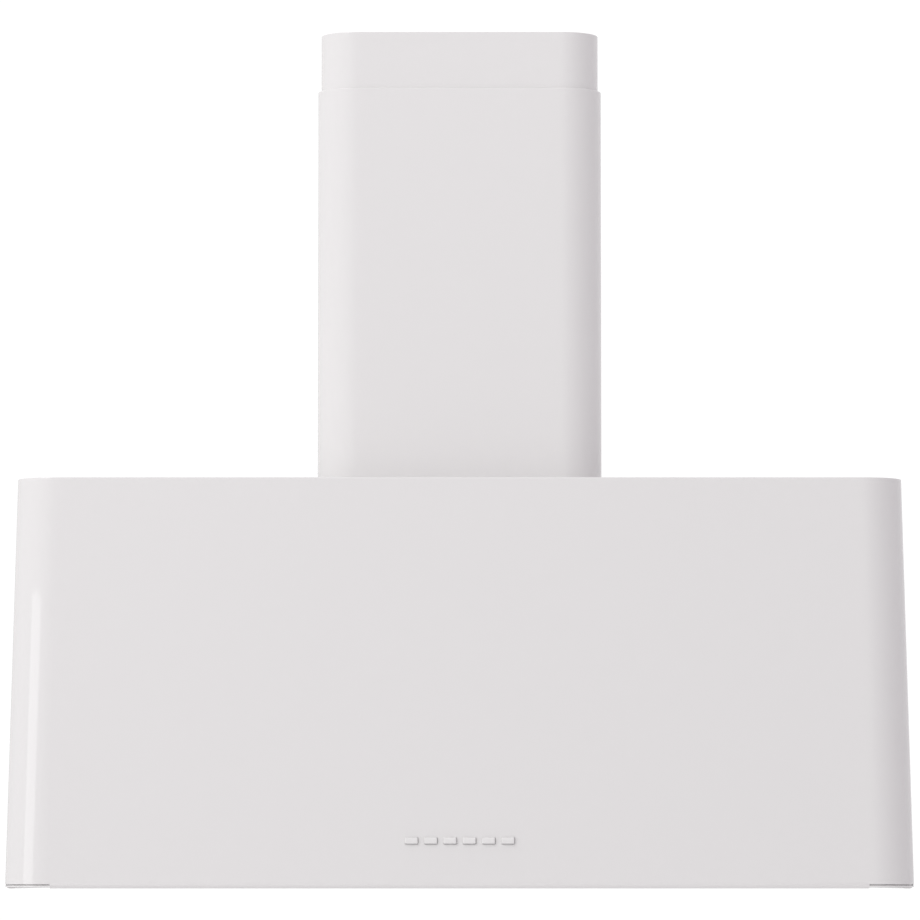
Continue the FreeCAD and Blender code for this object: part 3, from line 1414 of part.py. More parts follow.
def make_lamps():
    """Four recessed lamps: a bezel under the liner, a lens on its ledge, and a can above with its board."""
    lens_radius = lamp_radius - 8
    seat = lens_radius + panel_clearance
    wall = lamp_hole_radius + 2.6
    outlines = {
        "lamp_bezel": [
            (lens_radius - 1.5, 0),
            (lamp_radius - 1.5, 0),
            (lamp_radius, 1.5),
            (lamp_radius, 3),
            (seat + 1.8, 3),
            (seat + 1.8, 13),
            (seat, 13),
            (seat, 1.5),
            (lens_radius - 1.5, 1.5),
        ],
        "lamp_lens": [(0, 0), (lens_radius, 0), (lens_radius, 3), (0, 3)],
        "lamp_can": [
            (lamp_hole_radius + 0.6, 0),
            (lamp_radius + 2, 0),
            (lamp_radius + 2, 1.5),
            (wall, 1.5),
            (wall, 22),
            (wall - 8, 30),
            (0, 30),
            (0, 28),
            (wall - 9, 28),
            (lamp_hole_radius + 0.6, 21),
        ],
        "lamp_board": [(0, 0), (5, 0), (6, 1.2), (lens_radius - 8, 1.2), (lens_radius - 8, 3), (0, 3)],
    }
    levels = {
        "lamp_bezel": web_under - 3,
        "lamp_lens": web_under - 1.5,
        "lamp_can": web_top,
        "lamp_board": web_top + 25,
    }
    plural = {"lamp_lens": "lamp_lenses"}
    for kind, outline in outlines.items():
        solids = [turned(f"{kind}_{name}", outline, (x, y, levels[kind])) for name, (x, y) in LAMPS.items()]
        label = plural.get(kind, kind + "s")
        node(label, group(label, solids))


# ---------------------------------------------------------------- build, check and write


def build():
    make_ceiling_plate()
    make_uprights()
    make_frame_plates()
    make_frame_screws()
    make_flues()
    make_flue_screws()
    make_canopy_skin()
    make_canopy_deck()
    make_skin_studs()
    make_canopy_liner()
    make_liner_screws()
    make_canopy_posts()
    make_cable_gland()
    make_electrics()
    make_outlet_adapter()
    make_duct_collar()
    make_damper_flaps()
    make_blower_housing()
    make_blower_screws()
    make_impeller()
    make_motor()
    make_buttons()
    make_button_carrier()
    make_control_board()
    make_filters()
    make_lamps()
    doc.recompute()


def check():
    """Stops if any object failed, or a cut removed nothing, or a sub-part isn't a valid solid."""
    for thing in doc.Objects:
        if {"Invalid", "Error"} & set(thing.State):
            raise RuntimeError(f"{thing.Label} failed: {thing.State}")
        if thing.TypeId in ("PartDesign::Pocket", "PartDesign::SubtractiveLoft"):
            before = thing.BaseFeature.Shape.Volume
            if thing.Shape.Volume > before - 0.1:
                raise RuntimeError(f"{thing.Label} cuts nothing")
    for thing in nodes:
        shape = thing.Shape
        if shape.isNull() or not shape.isValid() or not shape.Solids:
            raise RuntimeError(f"{thing.Label} is not a valid solid")


def write():
    os.makedirs("parts", exist_ok=True)
    for thing in nodes:
        thing.Shape.exportStep(f"parts/{thing.Label}.step")
    print(f"{len(nodes)} sub-parts written")


build()
check()
write()
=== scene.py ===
"""An island range hood: the finished surfaces and the studio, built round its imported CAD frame.

Laid out as a Blender add-on and run as a script. Every length is in metres, in the frame's own axes:
X along the hood's width, -Y to the side with the push buttons, Z up from the ceiling plate's top face.
"""

from math import cos, pi, radians, sin

import bpy
import numpy as np
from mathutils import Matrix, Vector


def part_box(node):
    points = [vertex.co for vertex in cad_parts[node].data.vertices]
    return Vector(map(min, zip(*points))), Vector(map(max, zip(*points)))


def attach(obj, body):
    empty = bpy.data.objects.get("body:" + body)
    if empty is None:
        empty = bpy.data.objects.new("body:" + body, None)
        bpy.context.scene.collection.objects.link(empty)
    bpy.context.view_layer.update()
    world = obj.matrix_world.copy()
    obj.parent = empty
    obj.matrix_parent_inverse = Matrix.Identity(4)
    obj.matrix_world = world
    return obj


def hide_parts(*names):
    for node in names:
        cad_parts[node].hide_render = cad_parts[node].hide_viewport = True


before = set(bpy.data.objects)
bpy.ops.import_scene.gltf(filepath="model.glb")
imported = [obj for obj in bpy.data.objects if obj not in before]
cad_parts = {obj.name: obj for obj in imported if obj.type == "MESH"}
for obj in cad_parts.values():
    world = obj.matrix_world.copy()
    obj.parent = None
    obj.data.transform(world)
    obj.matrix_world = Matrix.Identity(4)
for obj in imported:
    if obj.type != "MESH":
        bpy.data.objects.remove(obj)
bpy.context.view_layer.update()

bl_info = {
    "name": "Island range hood",
    "version": (1, 0, 0),
    "blender": (4, 5, 0),
    "location": "3D View > Sidebar > Range hood",
    "description": "Builds the hood's finished surfaces round its CAD frame, and a studio to show it in",
    "category": "Object",
}

MM = 0.001
BUTTONS = ("light", "stop", "low_speed", "medium_speed", "high_speed", "boost")
FILTERS = ("left", "middle", "right")
CORNERS = np.array([(-1, -1), (1, -1), (1, 1), (-1, 1)])
FLAT = 0.4 * MM  # from a rounding to the extra ring that keeps the wall beyond it flat in shading
EASED = radians(35)  # a CAD node's edges that turn by more than this are eased
JOINED = 0.002 * MM  # corners of a CAD node's loose triangles this near to each other are one point
CAP_MARGIN = (2 * MM, 1.75 * MM)  # from a push button's box, which takes in its shoulder, to its cap
DECK_GAP = 0.3 * MM  # between the canopy's deck and its skin

# ---------------------------------------------------------------- sizes and colours


def length(name, description, default):
    """A size in metres."""
    return bpy.props.FloatProperty(
        name=name, description=description, default=default, min=0, unit="LENGTH", precision=4
    )


def colour(name, description, default):
    """A linear colour."""
    return bpy.props.FloatVectorProperty(
        name=name, description=description, default=default, min=0, max=1, size=3, subtype="COLOR"
    )


class HoodSizes(bpy.types.PropertyGroup):
    """Sizes of the finished surfaces that the CAD frame leaves open."""

    sheet: length("Sheet", "Thickness of the canopy's and the flues' sheet steel", 1.2 * MM)
    corner: length("Canopy corner", "Radius of the canopy's upright corners", 42 * MM)
    hem_bend: length("Hem bend", "Outer radius of the fold along the canopy's lower edge", 4.2 * MM)
    corner_lift: length("Corner lift", "How much the canopy's wall stops short round its corners", 4.1 * MM)
    corner_run: length("Corner run", "How far past each corner's arc the wall stops short", 5 * MM)
    edge: length("Sheet edge", "Radius that takes the sharpness off the sheet's cut edges", 0.4 * MM)
    lower_corner: length("Lower flue corner", "Radius of the lower flue's corners", 42 * MM)
    rim_lip: length("Rim lip", "How far the lower flue's rim turns in to the upper flue", 3.0 * MM)
    rim_bend: length("Rim bend", "Outer radius of the fold along the lower flue's upper rim", 0.6 * MM)
    upper_corner: length("Upper flue corner", "Radius of the upper flue's corners", 38.8 * MM)
    button_gap: length("Button gap", "Mean gap round a push button in its hole", 0.27 * MM)
    button_set: length("Button set", "How far the holes lie below and to the right of the caps", 0.22 * MM)
    button_edge: length("Button edge", "Radius of a push button's front edge", 1.2 * MM)
    button_corner: length("Button corner", "Radius of a push button's four corners", 1.0 * MM)
    liner_corner: length("Liner corner", "Radius of the liner's rim at its corners", 40.5 * MM)
    liner_bend: length("Liner bend", "Outer radius of the fold between the liner's web and its rim", 2.2 * MM)
    baffle_bend: length("Baffle bend", "Outer radius of the folds along a grease baffle", 1.0 * MM)
    spring_wire: length("Spring wire", "Diameter of the latch springs' wire", 0.6 * MM)


class HoodColours(bpy.types.PropertyGroup):
    """Base colours of the finishes."""

    enamel: colour("Enamel", "White enamel on the canopy and the flues", (0.8, 0.792, 0.79))
    button: colour("Buttons", "White plastic of the push buttons", (0.83, 0.825, 0.82))
    stainless: colour("Stainless steel", "Brushed baffles and lamp rings", (0.56, 0.555, 0.545))
    aluminium: colour("Aluminium", "Pressed aluminium of the grease filters", (0.66, 0.66, 0.665))
    zinc: colour("Galvanised steel", "Zinc on the frame, the posts and the blower", (0.5, 0.515, 0.53))
    floor: colour("Floor", "The studio's floor", (0.93, 0.93, 0.93))


# ---------------------------------------------------------------- surfaces


class Outline:
    """Stations round a rounded rectangle, anticlockwise from the start of its +X side.

    Each station holds a share of the way from the middle to the corner's centre along X and Y, and the angle
    of its outward normal. Along a straight run the share changes and the angle stays; round a corner it is
    the reverse.
    """

    def __init__(self, turns, along_x=(), along_y=()):
        bend = np.linspace(0, pi / 2, turns + 1)
        shares, angles = [], []
        for quarter in range(4):
            run = np.array(along_y if quarter % 2 == 0 else along_x, float)
            run = np.sort(run if quarter in (0, 3) else -run)
            side = np.stack([np.ones_like(run), run])
            corner = np.ones((2, len(bend)))
            c, s = round(cos(quarter * pi / 2)), round(sin(quarter * pi / 2))
            shares.append(np.array([[c, -s], [s, c]]) @ np.concatenate([side, corner], axis=1))
            angles.append(quarter * pi / 2 + np.concatenate([np.zeros(len(run)), bend]))
        self.share_x, self.share_y = np.concatenate(shares, axis=1)
        self.angle = np.concatenate(angles)

    def at(self, half_x, half_y, radius, level, centre=(0, 0)):
        """Points at share * (half size - radius) + radius * normal, for arrays that fit rows by stations."""
        x = centre[0] + self.share_x * (half_x - radius) + radius * np.cos(self.angle)
        y = centre[1] + self.share_y * (half_y - radius) + radius * np.sin(self.angle)
        return np.stack(np.broadcast_arrays(x, y, level), axis=-1)


def cut_outline(reach, run, along_x, along_y):
    """Stations for a wall that is cut short round its corners, and which of them stand on whole wall.

    Reach is the distance from the middle to the corners' centres along X and Y. The wall is whole up to that
    distance less run, and cut short from one station further.
    """
    steps = [np.array([1 - run / far, 1 - (run - FLAT) / far]) for far in reach]
    runs = [np.concatenate([along, step, -step]) for along, step in zip((along_x, along_y), steps)]
    outline = Outline(18, *runs)
    shares, just_over = (outline.share_x, outline.share_y), 1e-9
    whole_x, whole_y = (np.abs(share) <= step[0] + just_over for share, step in zip(shares, steps))
    return outline, (whole_x | whole_y)[None, :]


def solid(grid, ring=False, ends="point"):
    """Points and faces of a closed surface given as rows of stations.

    Quads join neighbouring stations of neighbouring rows, and each row closes on itself. With ring, the
    last row meets the first. Otherwise each end row closes on its own middle point, or as one flat face.
    A negative volume means that the faces point inwards, and they are turned round.
    """
    rows, stations = grid.shape[:2]
    points = grid.reshape(-1, 3)
    row = np.arange(rows if ring else rows - 1)[:, None]
    station = np.arange(stations)[None, :]
    above, after = (row + 1) % rows, (station + 1) % stations
    quad = ((row, station), (row, after), (above, after), (above, station))
    corners = np.broadcast_arrays(*(level * stations + turn for level, turn in quad))
    faces = np.stack(corners, axis=-1).reshape(-1, 4).tolist()
    if not ring:
        first, last = np.arange(stations), np.arange(stations) + (rows - 1) * stations
        if ends == "face":
            faces += [first[::-1].tolist(), last.tolist()]
        else:
            count = len(points)
            points = np.concatenate([points, grid[:1].mean(axis=1), grid[-1:].mean(axis=1)])
            low = np.stack([np.roll(first, -1), first, np.full(stations, count)], axis=-1)
            high = np.stack([last, np.roll(last, -1), np.full(stations, count + 1)], axis=-1)
            faces += low.tolist() + high.tolist()
    fans = np.array([(f[0], f[i], f[i + 1]) for f in faces for i in range(1, len(f) - 1)])
    a, b, c = (points[fans[:, i]] for i in range(3))
    volume = np.einsum("ij,ij->", a, np.cross(b, c)) / 6
    if volume < 0:
        faces = [face[::-1] for face in faces]
    return points, faces


def turned(profile, centre, stations):
    """A profile of radius and level carried round an upright axis: centre + (radius * (cos, sin), level)."""
    radius, level = np.array(profile, float).T[:, :, None]
    angle = np.linspace(0, 2 * pi, stations, endpoint=False)[None, :]
    points = (centre[0] + radius * np.cos(angle), centre[1] + radius * np.sin(angle), centre[2] + level)
    return np.stack(np.broadcast_arrays(*points), axis=-1)


def arc(centre, radius, start, stop, steps):
    """Points (centre + radius * (cos, sin)) of the angle from start to stop, in degrees."""
    angle = np.radians(np.linspace(start, stop, steps + 1))
    return [(centre[0] + radius * cos(t), centre[1] + radius * sin(t)) for t in angle]


def mesh_of(name, solids):
    """One mesh of several closed surfaces."""
    points, faces, count = [], [], 0
    for more, joined in solids:
        points.append(more)
        faces += [[index + count for index in face] for face in joined]
        count += len(more)
    mesh = bpy.data.meshes.new(name)
    mesh.from_pydata(np.concatenate(points), [], faces)
    mesh.update()
    return mesh


def smooth(mesh, crease):
    """Smooth shading, broken where two faces meet at more than the crease's angle in degrees."""
    mesh.polygons.foreach_set("use_smooth", np.ones(len(mesh.polygons), bool))
    mesh.set_sharp_from_angle(angle=radians(crease))


def piece(name, solids, finish, body, nodes, cutters=(), crease=32):
    """A finished piece of the hood that rides on a CAD body and stands for CAD nodes."""
    obj = bpy.data.objects.new(name, mesh_of(name, solids))
    bpy.context.scene.collection.objects.link(obj)
    if cutters:
        cut_away(obj, cutters)
    smooth(obj.data, crease)
    obj.data.materials.append(material(finish))
    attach(obj, body)
    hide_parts(*nodes)


def cut_away(obj, cutters):
    """Takes closed surfaces out of a piece and keeps the result as its mesh."""
    tool = bpy.data.objects.new("cutter", mesh_of("cutter", cutters))
    bpy.context.scene.collection.objects.link(tool)
    modifier = obj.modifiers.new("holes", "BOOLEAN")
    modifier.operation, modifier.solver, modifier.object = "DIFFERENCE", "EXACT", tool
    bpy.context.view_layer.update()
    whole = obj.evaluated_get(bpy.context.evaluated_depsgraph_get())
    result = bpy.data.meshes.new_from_object(whole)
    obj.modifiers.remove(modifier)
    for used in (obj, tool):
        old, used.data = used.data, result
        bpy.data.meshes.remove(old)
    bpy.data.objects.remove(tool)
    result.name = obj.name


def finish_node(node, finish, bevel, segments=2):
    """A CAD node keeps its shape: its loose triangles are joined and its edges eased by modifiers."""
    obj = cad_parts[node]
    for held in obj.material_slots:
        held.material = material(finish)
    if bevel:
        weld = obj.modifiers.new("joined", "WELD")
        weld.merge_threshold = JOINED
        ease = obj.modifiers.new("eased edges", "BEVEL")
        ease.width, ease.segments = bevel, segments
        ease.limit_method, ease.angle_limit = "ANGLE", EASED
        ease.use_clamp_overlap, ease.harden_normals = True, False
        even = obj.modifiers.new("even shading", "WEIGHTED_NORMAL")
        even.keep_sharp, even.weight = True, 100


# ---------------------------------------------------------------- shader maths


class Wire:
    """One output of a shader node. Arithmetic on it adds Math nodes to the same tree."""

    def __init__(self, bench, socket):
        self.bench, self.socket = bench, socket

    def maths(self, operation, *values, clamp=False):
        """A Math node on any numbers and wires."""
        settings = {"operation": operation, "use_clamp": clamp}
        return self.bench.add("ShaderNodeMath", settings, dict(enumerate(values)))

    def __add__(self, other):
        return self.maths("ADD", self, other)

    def __radd__(self, other):
        return self.maths("ADD", other, self)

    def __sub__(self, other):
        return self.maths("SUBTRACT", self, other)

    def __rsub__(self, other):
        return self.maths("SUBTRACT", other, self)

    def __mul__(self, other):
        return self.maths("MULTIPLY", self, other)

    def __rmul__(self, other):
        return self.maths("MULTIPLY", other, self)

    def __truediv__(self, other):
        return self.maths("DIVIDE", self, other)

    def __lt__(self, other):
        return self.maths("LESS_THAN", self, other)

    def clamped(self):
        """This value kept between 0 and 1."""
        return self.maths("ADD", self, 0.0, clamp=True)


class Bench:
    """A node tree being wired: one method adds any node, its settings first and its sockets after."""

    def __init__(self, tree):
        self.tree = tree
        tree.nodes.clear()

    def add(self, kind, settings=None, sockets=None, output=0):
        """A node, and the wire from its output of that number. Among the settings, stops are a ramp's."""
        node = self.tree.nodes.new(kind)
        for key, value in (settings or {}).items():
            if key == "stops":
                ramp = node.color_ramp.elements
                for number, (position, tint) in enumerate(value):
                    stop = ramp[number] if number < 2 else ramp.new(position)
                    stop.position, stop.color = position, (*tint, 1)
            else:
                setattr(node, key, value)
        for key, value in (sockets or {}).items():
            socket = node.inputs[key]
            if isinstance(value, Wire):
                self.tree.links.new(value.socket, socket)
            elif isinstance(value, tuple) and socket.type == "RGBA":
                socket.default_value = (*value[:3], 1)
            else:
                socket.default_value = value
        return Wire(self, node.outputs[output]) if node.outputs else None

    def place(self, scale=(1, 1, 1), turn=(0, 0, 0)):
        """Object coordinates, scaled and turned, which run on over every piece in the hood's own frame."""
        where = self.add("ShaderNodeTexCoord", output=3)
        return self.add("ShaderNodeMapping", {}, {"Vector": where, "Scale": scale, "Rotation": turn})

    def noise(self, scale, detail=2, rough=0.5, place=None):
        """A cloudy value from 0 to 1."""
        sockets = {"Vector": place or self.place(), "Scale": scale, "Detail": detail, "Roughness": rough}
        return self.add("ShaderNodeTexNoise", {}, sockets)

    def blend(self, share, first, second):
        """A colour between two, by a share from 0 to 1."""
        sockets = {0: share, 6: first, 7: second}
        return self.add("ShaderNodeMix", {"data_type": "RGBA"}, sockets, output=2)

    def bump(self, height, distance):
        """A normal tilted by a height from 0 to 1, which stands for that distance."""
        return self.add("ShaderNodeBump", {}, {"Height": height, "Distance": distance, "Strength": 1.0})

    def surface(self, sockets):
        """The material's shader, from the values and wires of its sockets."""
        shader = self.add("ShaderNodeBsdfPrincipled", {}, sockets)
        self.add("ShaderNodeOutputMaterial", {}, {"Surface": shader})


def shade(base, factor):
    """A colour made lighter or darker by a factor."""
    return tuple(min(1.0, channel * factor) for channel in base)


def enamel(b, base):
    """Stoved enamel: a clear skin over white, with a faint orange peel and hardly any unevenness."""
    cloud, peel = b.noise(2.2, 2), b.noise(260, 1, 0.4)
    speck = b.noise(1400, 1)
    b.surface({
        "Base Color": b.blend(cloud, shade(base, 0.997), shade(base, 1.003)),
        "Roughness": 0.4 + 0.05 * b.noise(40, 3),
        "Coat Weight": 0.92 + 0.08 * cloud,
        "Coat Roughness": 0.03,
        "Coat IOR": 1.5,
        "Specular IOR Level": 0.1,
        "Normal": b.bump(peel + 0.12 * speck, 0.008 * MM),
    })


def moulded(rough=0.42, grain=900, depth=0.02 * MM, coat=0.0):
    """Moulded plastic: a fine eroded texture, a little duller where the grain stands up."""

    def wire(b, base):
        fine, slow = b.noise(grain, 3, 0.6), b.noise(25, 2)
        b.surface({
            "Base Color": b.blend(slow, shade(base, 0.96), shade(base, 1.04)),
            "Roughness": rough + 0.12 * (fine - 0.5),
            "Coat Weight": coat,
            "Normal": b.bump(fine, depth),
        })

    return wire


def brushed(along, rough, across=700, depth=0.006 * MM):
    """Brushed metal: long fine lines along one axis, some broader and some darker, over slow smears."""

    def wire(b, base):
        lines = tuple(6.0 if axis == along else float(across) for axis in range(3))
        broad = tuple(1.5 if axis == along else across / 9 for axis in range(3))
        fine = b.noise(1, 3, 0.65, b.place(lines))
        wide = b.noise(1, 2, 0.5, b.place(broad))
        smear = b.noise(7, 3, 0.55)
        grain = 0.55 * fine + 0.3 * wide + 0.15 * smear
        b.surface({
            "Base Color": b.blend(grain, shade(base, 0.86), shade(base, 1.14)),
            "Metallic": 1.0,
            "Roughness": rough + 0.16 * (fine - 0.5) + 0.05 * (smear - 0.5),
            "Normal": b.bump(0.7 * fine + 0.3 * wide, depth),
        })

    return wire


def galvanised(b, base):
    """Hot-dip zinc: flat crystals of a few millimetres, each with its own grey and gloss."""
    where = b.place()
    wander = b.noise(90, 2, 0.5, where)
    cells = {"Vector": where, "Scale": 130.0, "Randomness": 1.0}
    crystal = b.add("ShaderNodeTexVoronoi", {}, cells, output=1)
    tone = b.add("ShaderNodeSeparateColor", {}, {"Color": crystal})
    edge = b.add("ShaderNodeTexVoronoi", {"feature": "DISTANCE_TO_EDGE"}, cells)
    rim = 1 - (edge * 9).clamped()
    b.surface({
        "Base Color": b.blend(0.7 * tone + 0.3 * wander, shade(base, 0.82), shade(base, 1.2)),
        "Metallic": 1.0,
        "Roughness": 0.34 + 0.2 * tone + 0.08 * rim,
        "Normal": b.bump(0.6 * tone + 0.2 * wander - 0.3 * rim, 0.012 * MM),
    })


def plated(rough):
    """Small plated or drawn parts: fine tool marks and a light mottle."""

    def wire(b, base):
        marks, mottle = b.noise(1, 2, 0.5, b.place((900.0, 900.0, 2600.0))), b.noise(160, 3)
        b.surface({
            "Base Color": b.blend(mottle, shade(base, 0.88), shade(base, 1.1)),
            "Metallic": 1.0,
            "Roughness": rough + 0.14 * (marks - 0.5) + 0.1 * (mottle - 0.5),
            "Normal": b.bump(marks, 0.008 * MM),
        })

    return wire


def circuit_board(b, base):
    """A green board: runs of track under the lacquer and bare pads between them."""
    where = b.place()
    tracks = b.add("ShaderNodeTexBrick", {}, {
        "Vector": b.place((1, 1, 1), (radians(90), 0, 0)),
        "Scale": 180.0,
        "Mortar Size": 0.06,
        "Mortar Smooth": 0.1,
        "Color1": (1.0, 1.0, 1.0),
        "Color2": (0.6, 0.6, 0.6),
        "Mortar": (0.0, 0.0, 0.0),
    }, output=1)
    pads = b.add("ShaderNodeTexVoronoi", {}, {"Vector": where, "Scale": 210.0, "Randomness": 0.25})
    pad = pads < 0.16
    green = b.blend(tracks, base, (0.03, 0.17, 0.07))
    b.surface({
        "Base Color": b.blend(pad, green, (0.75, 0.74, 0.7)),
        "Metallic": 0.85 * pad,
        "Roughness": 0.3 + 0.15 * b.noise(400, 2),
        "Coat Weight": 0.4 * (1 - pad),
        "Normal": b.bump(0.5 * tracks + pad, 0.03 * MM),
    })


def lamp_board(b, base):
    """A white lamp board with a grid of yellow phosphor squares."""
    where = b.place((115.0, 115.0, 1.0))
    cell = b.add("ShaderNodeTexVoronoi", {"distance": "CHEBYCHEV", "voronoi_dimensions": "2D"},
                 {"Vector": where, "Scale": 1.0, "Randomness": 0.0})
    chip = cell < 0.24
    bead = cell < 0.17
    board = b.blend(chip, base, (0.62, 0.6, 0.55))
    b.surface({
        "Base Color": b.blend(bead, board, (0.85, 0.55, 0.06)),
        "Roughness": 0.42 - 0.2 * bead + 0.1 * b.noise(300, 2),
        "Normal": b.bump(chip + 0.5 * bead, 0.15 * MM),
    })


def frosted_glass(b, base):
    """An acid-frosted lens over fine prisms, which looks milky when the lamp is off."""
    fine = b.noise(1500, 2)
    prisms = b.add("ShaderNodeTexVoronoi", {"feature": "SMOOTH_F1"},
                   {"Vector": b.place(), "Scale": 420.0, "Randomness": 0.15, "Smoothness": 0.5})
    b.surface({
        "Base Color": b.blend(prisms, base, (0.74, 0.755, 0.77)),
        "Roughness": 0.2 + 0.12 * fine,
        "Coat Weight": 0.5 + 0.2 * fine,
        "Coat Roughness": 0.12,
        "Normal": b.bump(prisms + 0.1 * fine, 0.05 * MM),
    })


def painted(b, base):
    """Baked paint on a casting: faint casting grain under it and a soft sheen."""
    grain, slow = b.noise(700, 4, 0.6), b.noise(30, 2)
    b.surface({
        "Base Color": b.blend(slow, shade(base, 0.85), shade(base, 1.2)),
        "Roughness": 0.38 + 0.14 * (grain - 0.5),
        "Coat Weight": 0.25,
        "Normal": b.bump(grain, 0.03 * MM),
    })


# Each finish's base colour, or the name of that colour among the hood's, and what wires it.
FINISHES = {
    "white_enamel": ("enamel", enamel),
    "white_plastic": ("button", moulded(0.3, 1200, 0.008 * MM, 0.35)),
    "stainless": ("stainless", brushed(1, 0.27)),
    "galvanised": ("zinc", galvanised),
    "filter_aluminium": ("aluminium", brushed(1, 0.3, 500, 0.008 * MM)),
    "zinc_screw": ((0.62, 0.62, 0.6), plated(0.28)),
    "spring_steel": ((0.42, 0.42, 0.43), plated(0.22)),
    "dark_plastic": ((0.035, 0.036, 0.038), moulded()),
    "grey_plastic": ((0.3, 0.31, 0.32), moulded(0.45)),
    "motor_black": ((0.03, 0.031, 0.033), painted),
    "circuit_board": ((0.012, 0.09, 0.035), circuit_board),
    "led_board": ((0.82, 0.83, 0.82), lamp_board),
    "lamp_can_metal": ((0.6, 0.6, 0.61), brushed(2, 0.26, 500)),
    "capacitor_can": ((0.7, 0.7, 0.71), brushed(2, 0.22, 600)),
    "frosted_glass": ((0.86, 0.87, 0.88), frosted_glass),
}


def material(name):
    """The finish of that name, wired once. Its title keeps it apart from the frame's material."""
    title = "finish_" + name
    found = bpy.data.materials.get(title)
    if found:
        return found
    base, wire = FINISHES[name]
    if isinstance(base, str):
        base = tuple(getattr(bpy.context.scene.hood_colours, base))
    made = bpy.data.materials.new(title)
    made.use_nodes = True
    wire(Bench(made.node_tree), base)
    return made


# ---------------------------------------------------------------- the canopy


class HOOD_OT_canopy(bpy.types.Operator):
    """Build the canopy's tapered skin with its folded hem and the holes for the push buttons"""

    bl_idname = "hood.canopy"
    bl_label = "Canopy skin"

    def execute(self, context):
        size = context.scene.hood_sizes
        low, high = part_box("canopy_skin")
        taper = high.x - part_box("canopy_deck")[1].x - size.sheet - DECK_GAP
        piece("canopy_shell", [canopy_skin(low, high, taper, size)], "white_enamel", "hood",
              ["canopy_skin"], button_holes(low, high, taper, size), crease=24)
        finish_node("canopy_deck", "white_enamel", 0.6 * MM, 3)
        return {"FINISHED"}


def canopy_skin(low, high, taper, size):
    """The skin as a wall section carried round a rounded rectangle that shrinks in step with height.

    A point is at outline(half size - taper * rise - depth), where depth is how far the section lies inside
    the outer face. Along the straight runs the section ends in a folded hem, and round the corners it is
    cut short.
    """
    sheet, bend, edge = size.sheet, size.hem_bend, size.edge
    inner, hem, lift = bend - sheet, low.z + bend, size.corner_lift
    tip = 9.2 * MM  # how far inwards the hem reaches
    top = [(0, high.z - edge), (0.3 * edge, high.z - 0.3 * edge), (edge, high.z)]
    top += [(sheet - edge, high.z), (sheet - 0.3 * edge, high.z - 0.3 * edge), (sheet, high.z - edge)]
    # Rings down the wall as shares of its height. Four of them pass close above and below the buttons' holes.
    levels = np.array([0.995, 0.7, 0.4, 0.145, 0.13, 0.102, 0.087, 0.04, 0.0165]) * (high.z - low.z) + low.z
    fold = arc((bend, hem), inner, 180, 270, 5)
    fold += [(tip - edge, low.z + sheet), (tip, low.z + sheet - edge), (tip, low.z + edge)]
    fold += [(tip - edge, low.z)] + arc((bend, hem), bend, 270, 180, 7)
    # The cut end has as many rows as the fold: 6 down the inside, 4 across and 8 up the outside.
    cut = low.z + lift + np.linspace(1.2 * MM, edge, 6)
    stop = [(sheet, z) for z in cut]
    stop += [(share * sheet, low.z + lift) for share in (0.85, 0.6, 0.4, 0.15)]
    stop += [(0, z) for z in low.z + lift + np.linspace(edge, 1.2 * MM, 8)]
    plain = top + [(sheet, z) for z in levels]
    rise = [(0, z) for z in levels[::-1]]
    hemmed, short = (np.array(plain + end + rise)[:, None, :] for end in (fold, stop))
    reach = (high.x - size.corner, high.y - size.corner)
    columns = np.array([-300, -140, -66, -60, 60, 66, 140, 300]) * MM / reach[0]
    outline, whole = cut_outline(reach, size.corner_run, columns, (-0.5, 0, 0.5))
    depth, level = np.where(whole[:, :, None], hemmed, short).transpose(2, 0, 1)
    lean = taper * (level - low.z) / (high.z - low.z)
    grid = outline.at(high.x - lean - depth, high.y - lean - depth, size.corner - depth, level)
    return solid(grid, ring=True)


def button_holes(low, high, taper, size):
    """A prism for each button's hole, a rounded rectangle carried inwards along Y from the leaning front.

    It is flared outside the front's face, so the hole's rim is very slightly eased.
    """
    outline = Outline(5)
    depth, flare = np.array([(-1.0, 1.1), (0.1, 0.0), (6.0, 0.0)]).T[:, :, None] * MM
    grow = size.button_gap + flare
    tools = []
    for name in BUTTONS:
        (middle, up), (wide, tall) = cap_size(f"{name}_button")
        centre = (middle + size.button_set, up - size.button_set)
        flat = outline.at(wide + grow, tall + grow, size.button_corner + grow, 0, centre)
        face = -high.y + taper * (flat[..., 1] - low.z) / (high.z - low.z)
        tools.append(solid(np.stack([flat[..., 0], face + depth, flat[..., 1]], axis=-1)))
    return tools


def cap_size(node):
    """A push button's middle along X and Z, and its cap's half sizes."""
    low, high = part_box(node)
    middle = ((low.x + high.x) / 2, (low.z + high.z) / 2)
    return middle, ((high.x - low.x) / 2 - CAP_MARGIN[0], (high.z - low.z) / 2 - CAP_MARGIN[1])


# ---------------------------------------------------------------- the flues


class HOOD_OT_flues(bpy.types.Operator):
    """Build the telescopic flue: the lower sleeve that slides over the upper one"""

    bl_idname = "hood.flues"
    bl_label = "Flues"

    def execute(self, context):
        size = context.scene.hood_sizes
        piece("lower_flue_sleeve", [sleeve("lower_flue", size.lower_corner, size, size.rim_lip)],
              "white_enamel", "lower_flue", ["lower_flue"])
        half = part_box("upper_flue")[1].x
        holes = [countersink(half, side, y, -15 * MM) for side in (-1, 1) for y in (-40 * MM, 40 * MM)]
        piece("upper_flue_sleeve", [sleeve("upper_flue", size.upper_corner, size)], "white_enamel",
              "ceiling_frame", ["upper_flue"], holes)
        return {"FINISHED"}


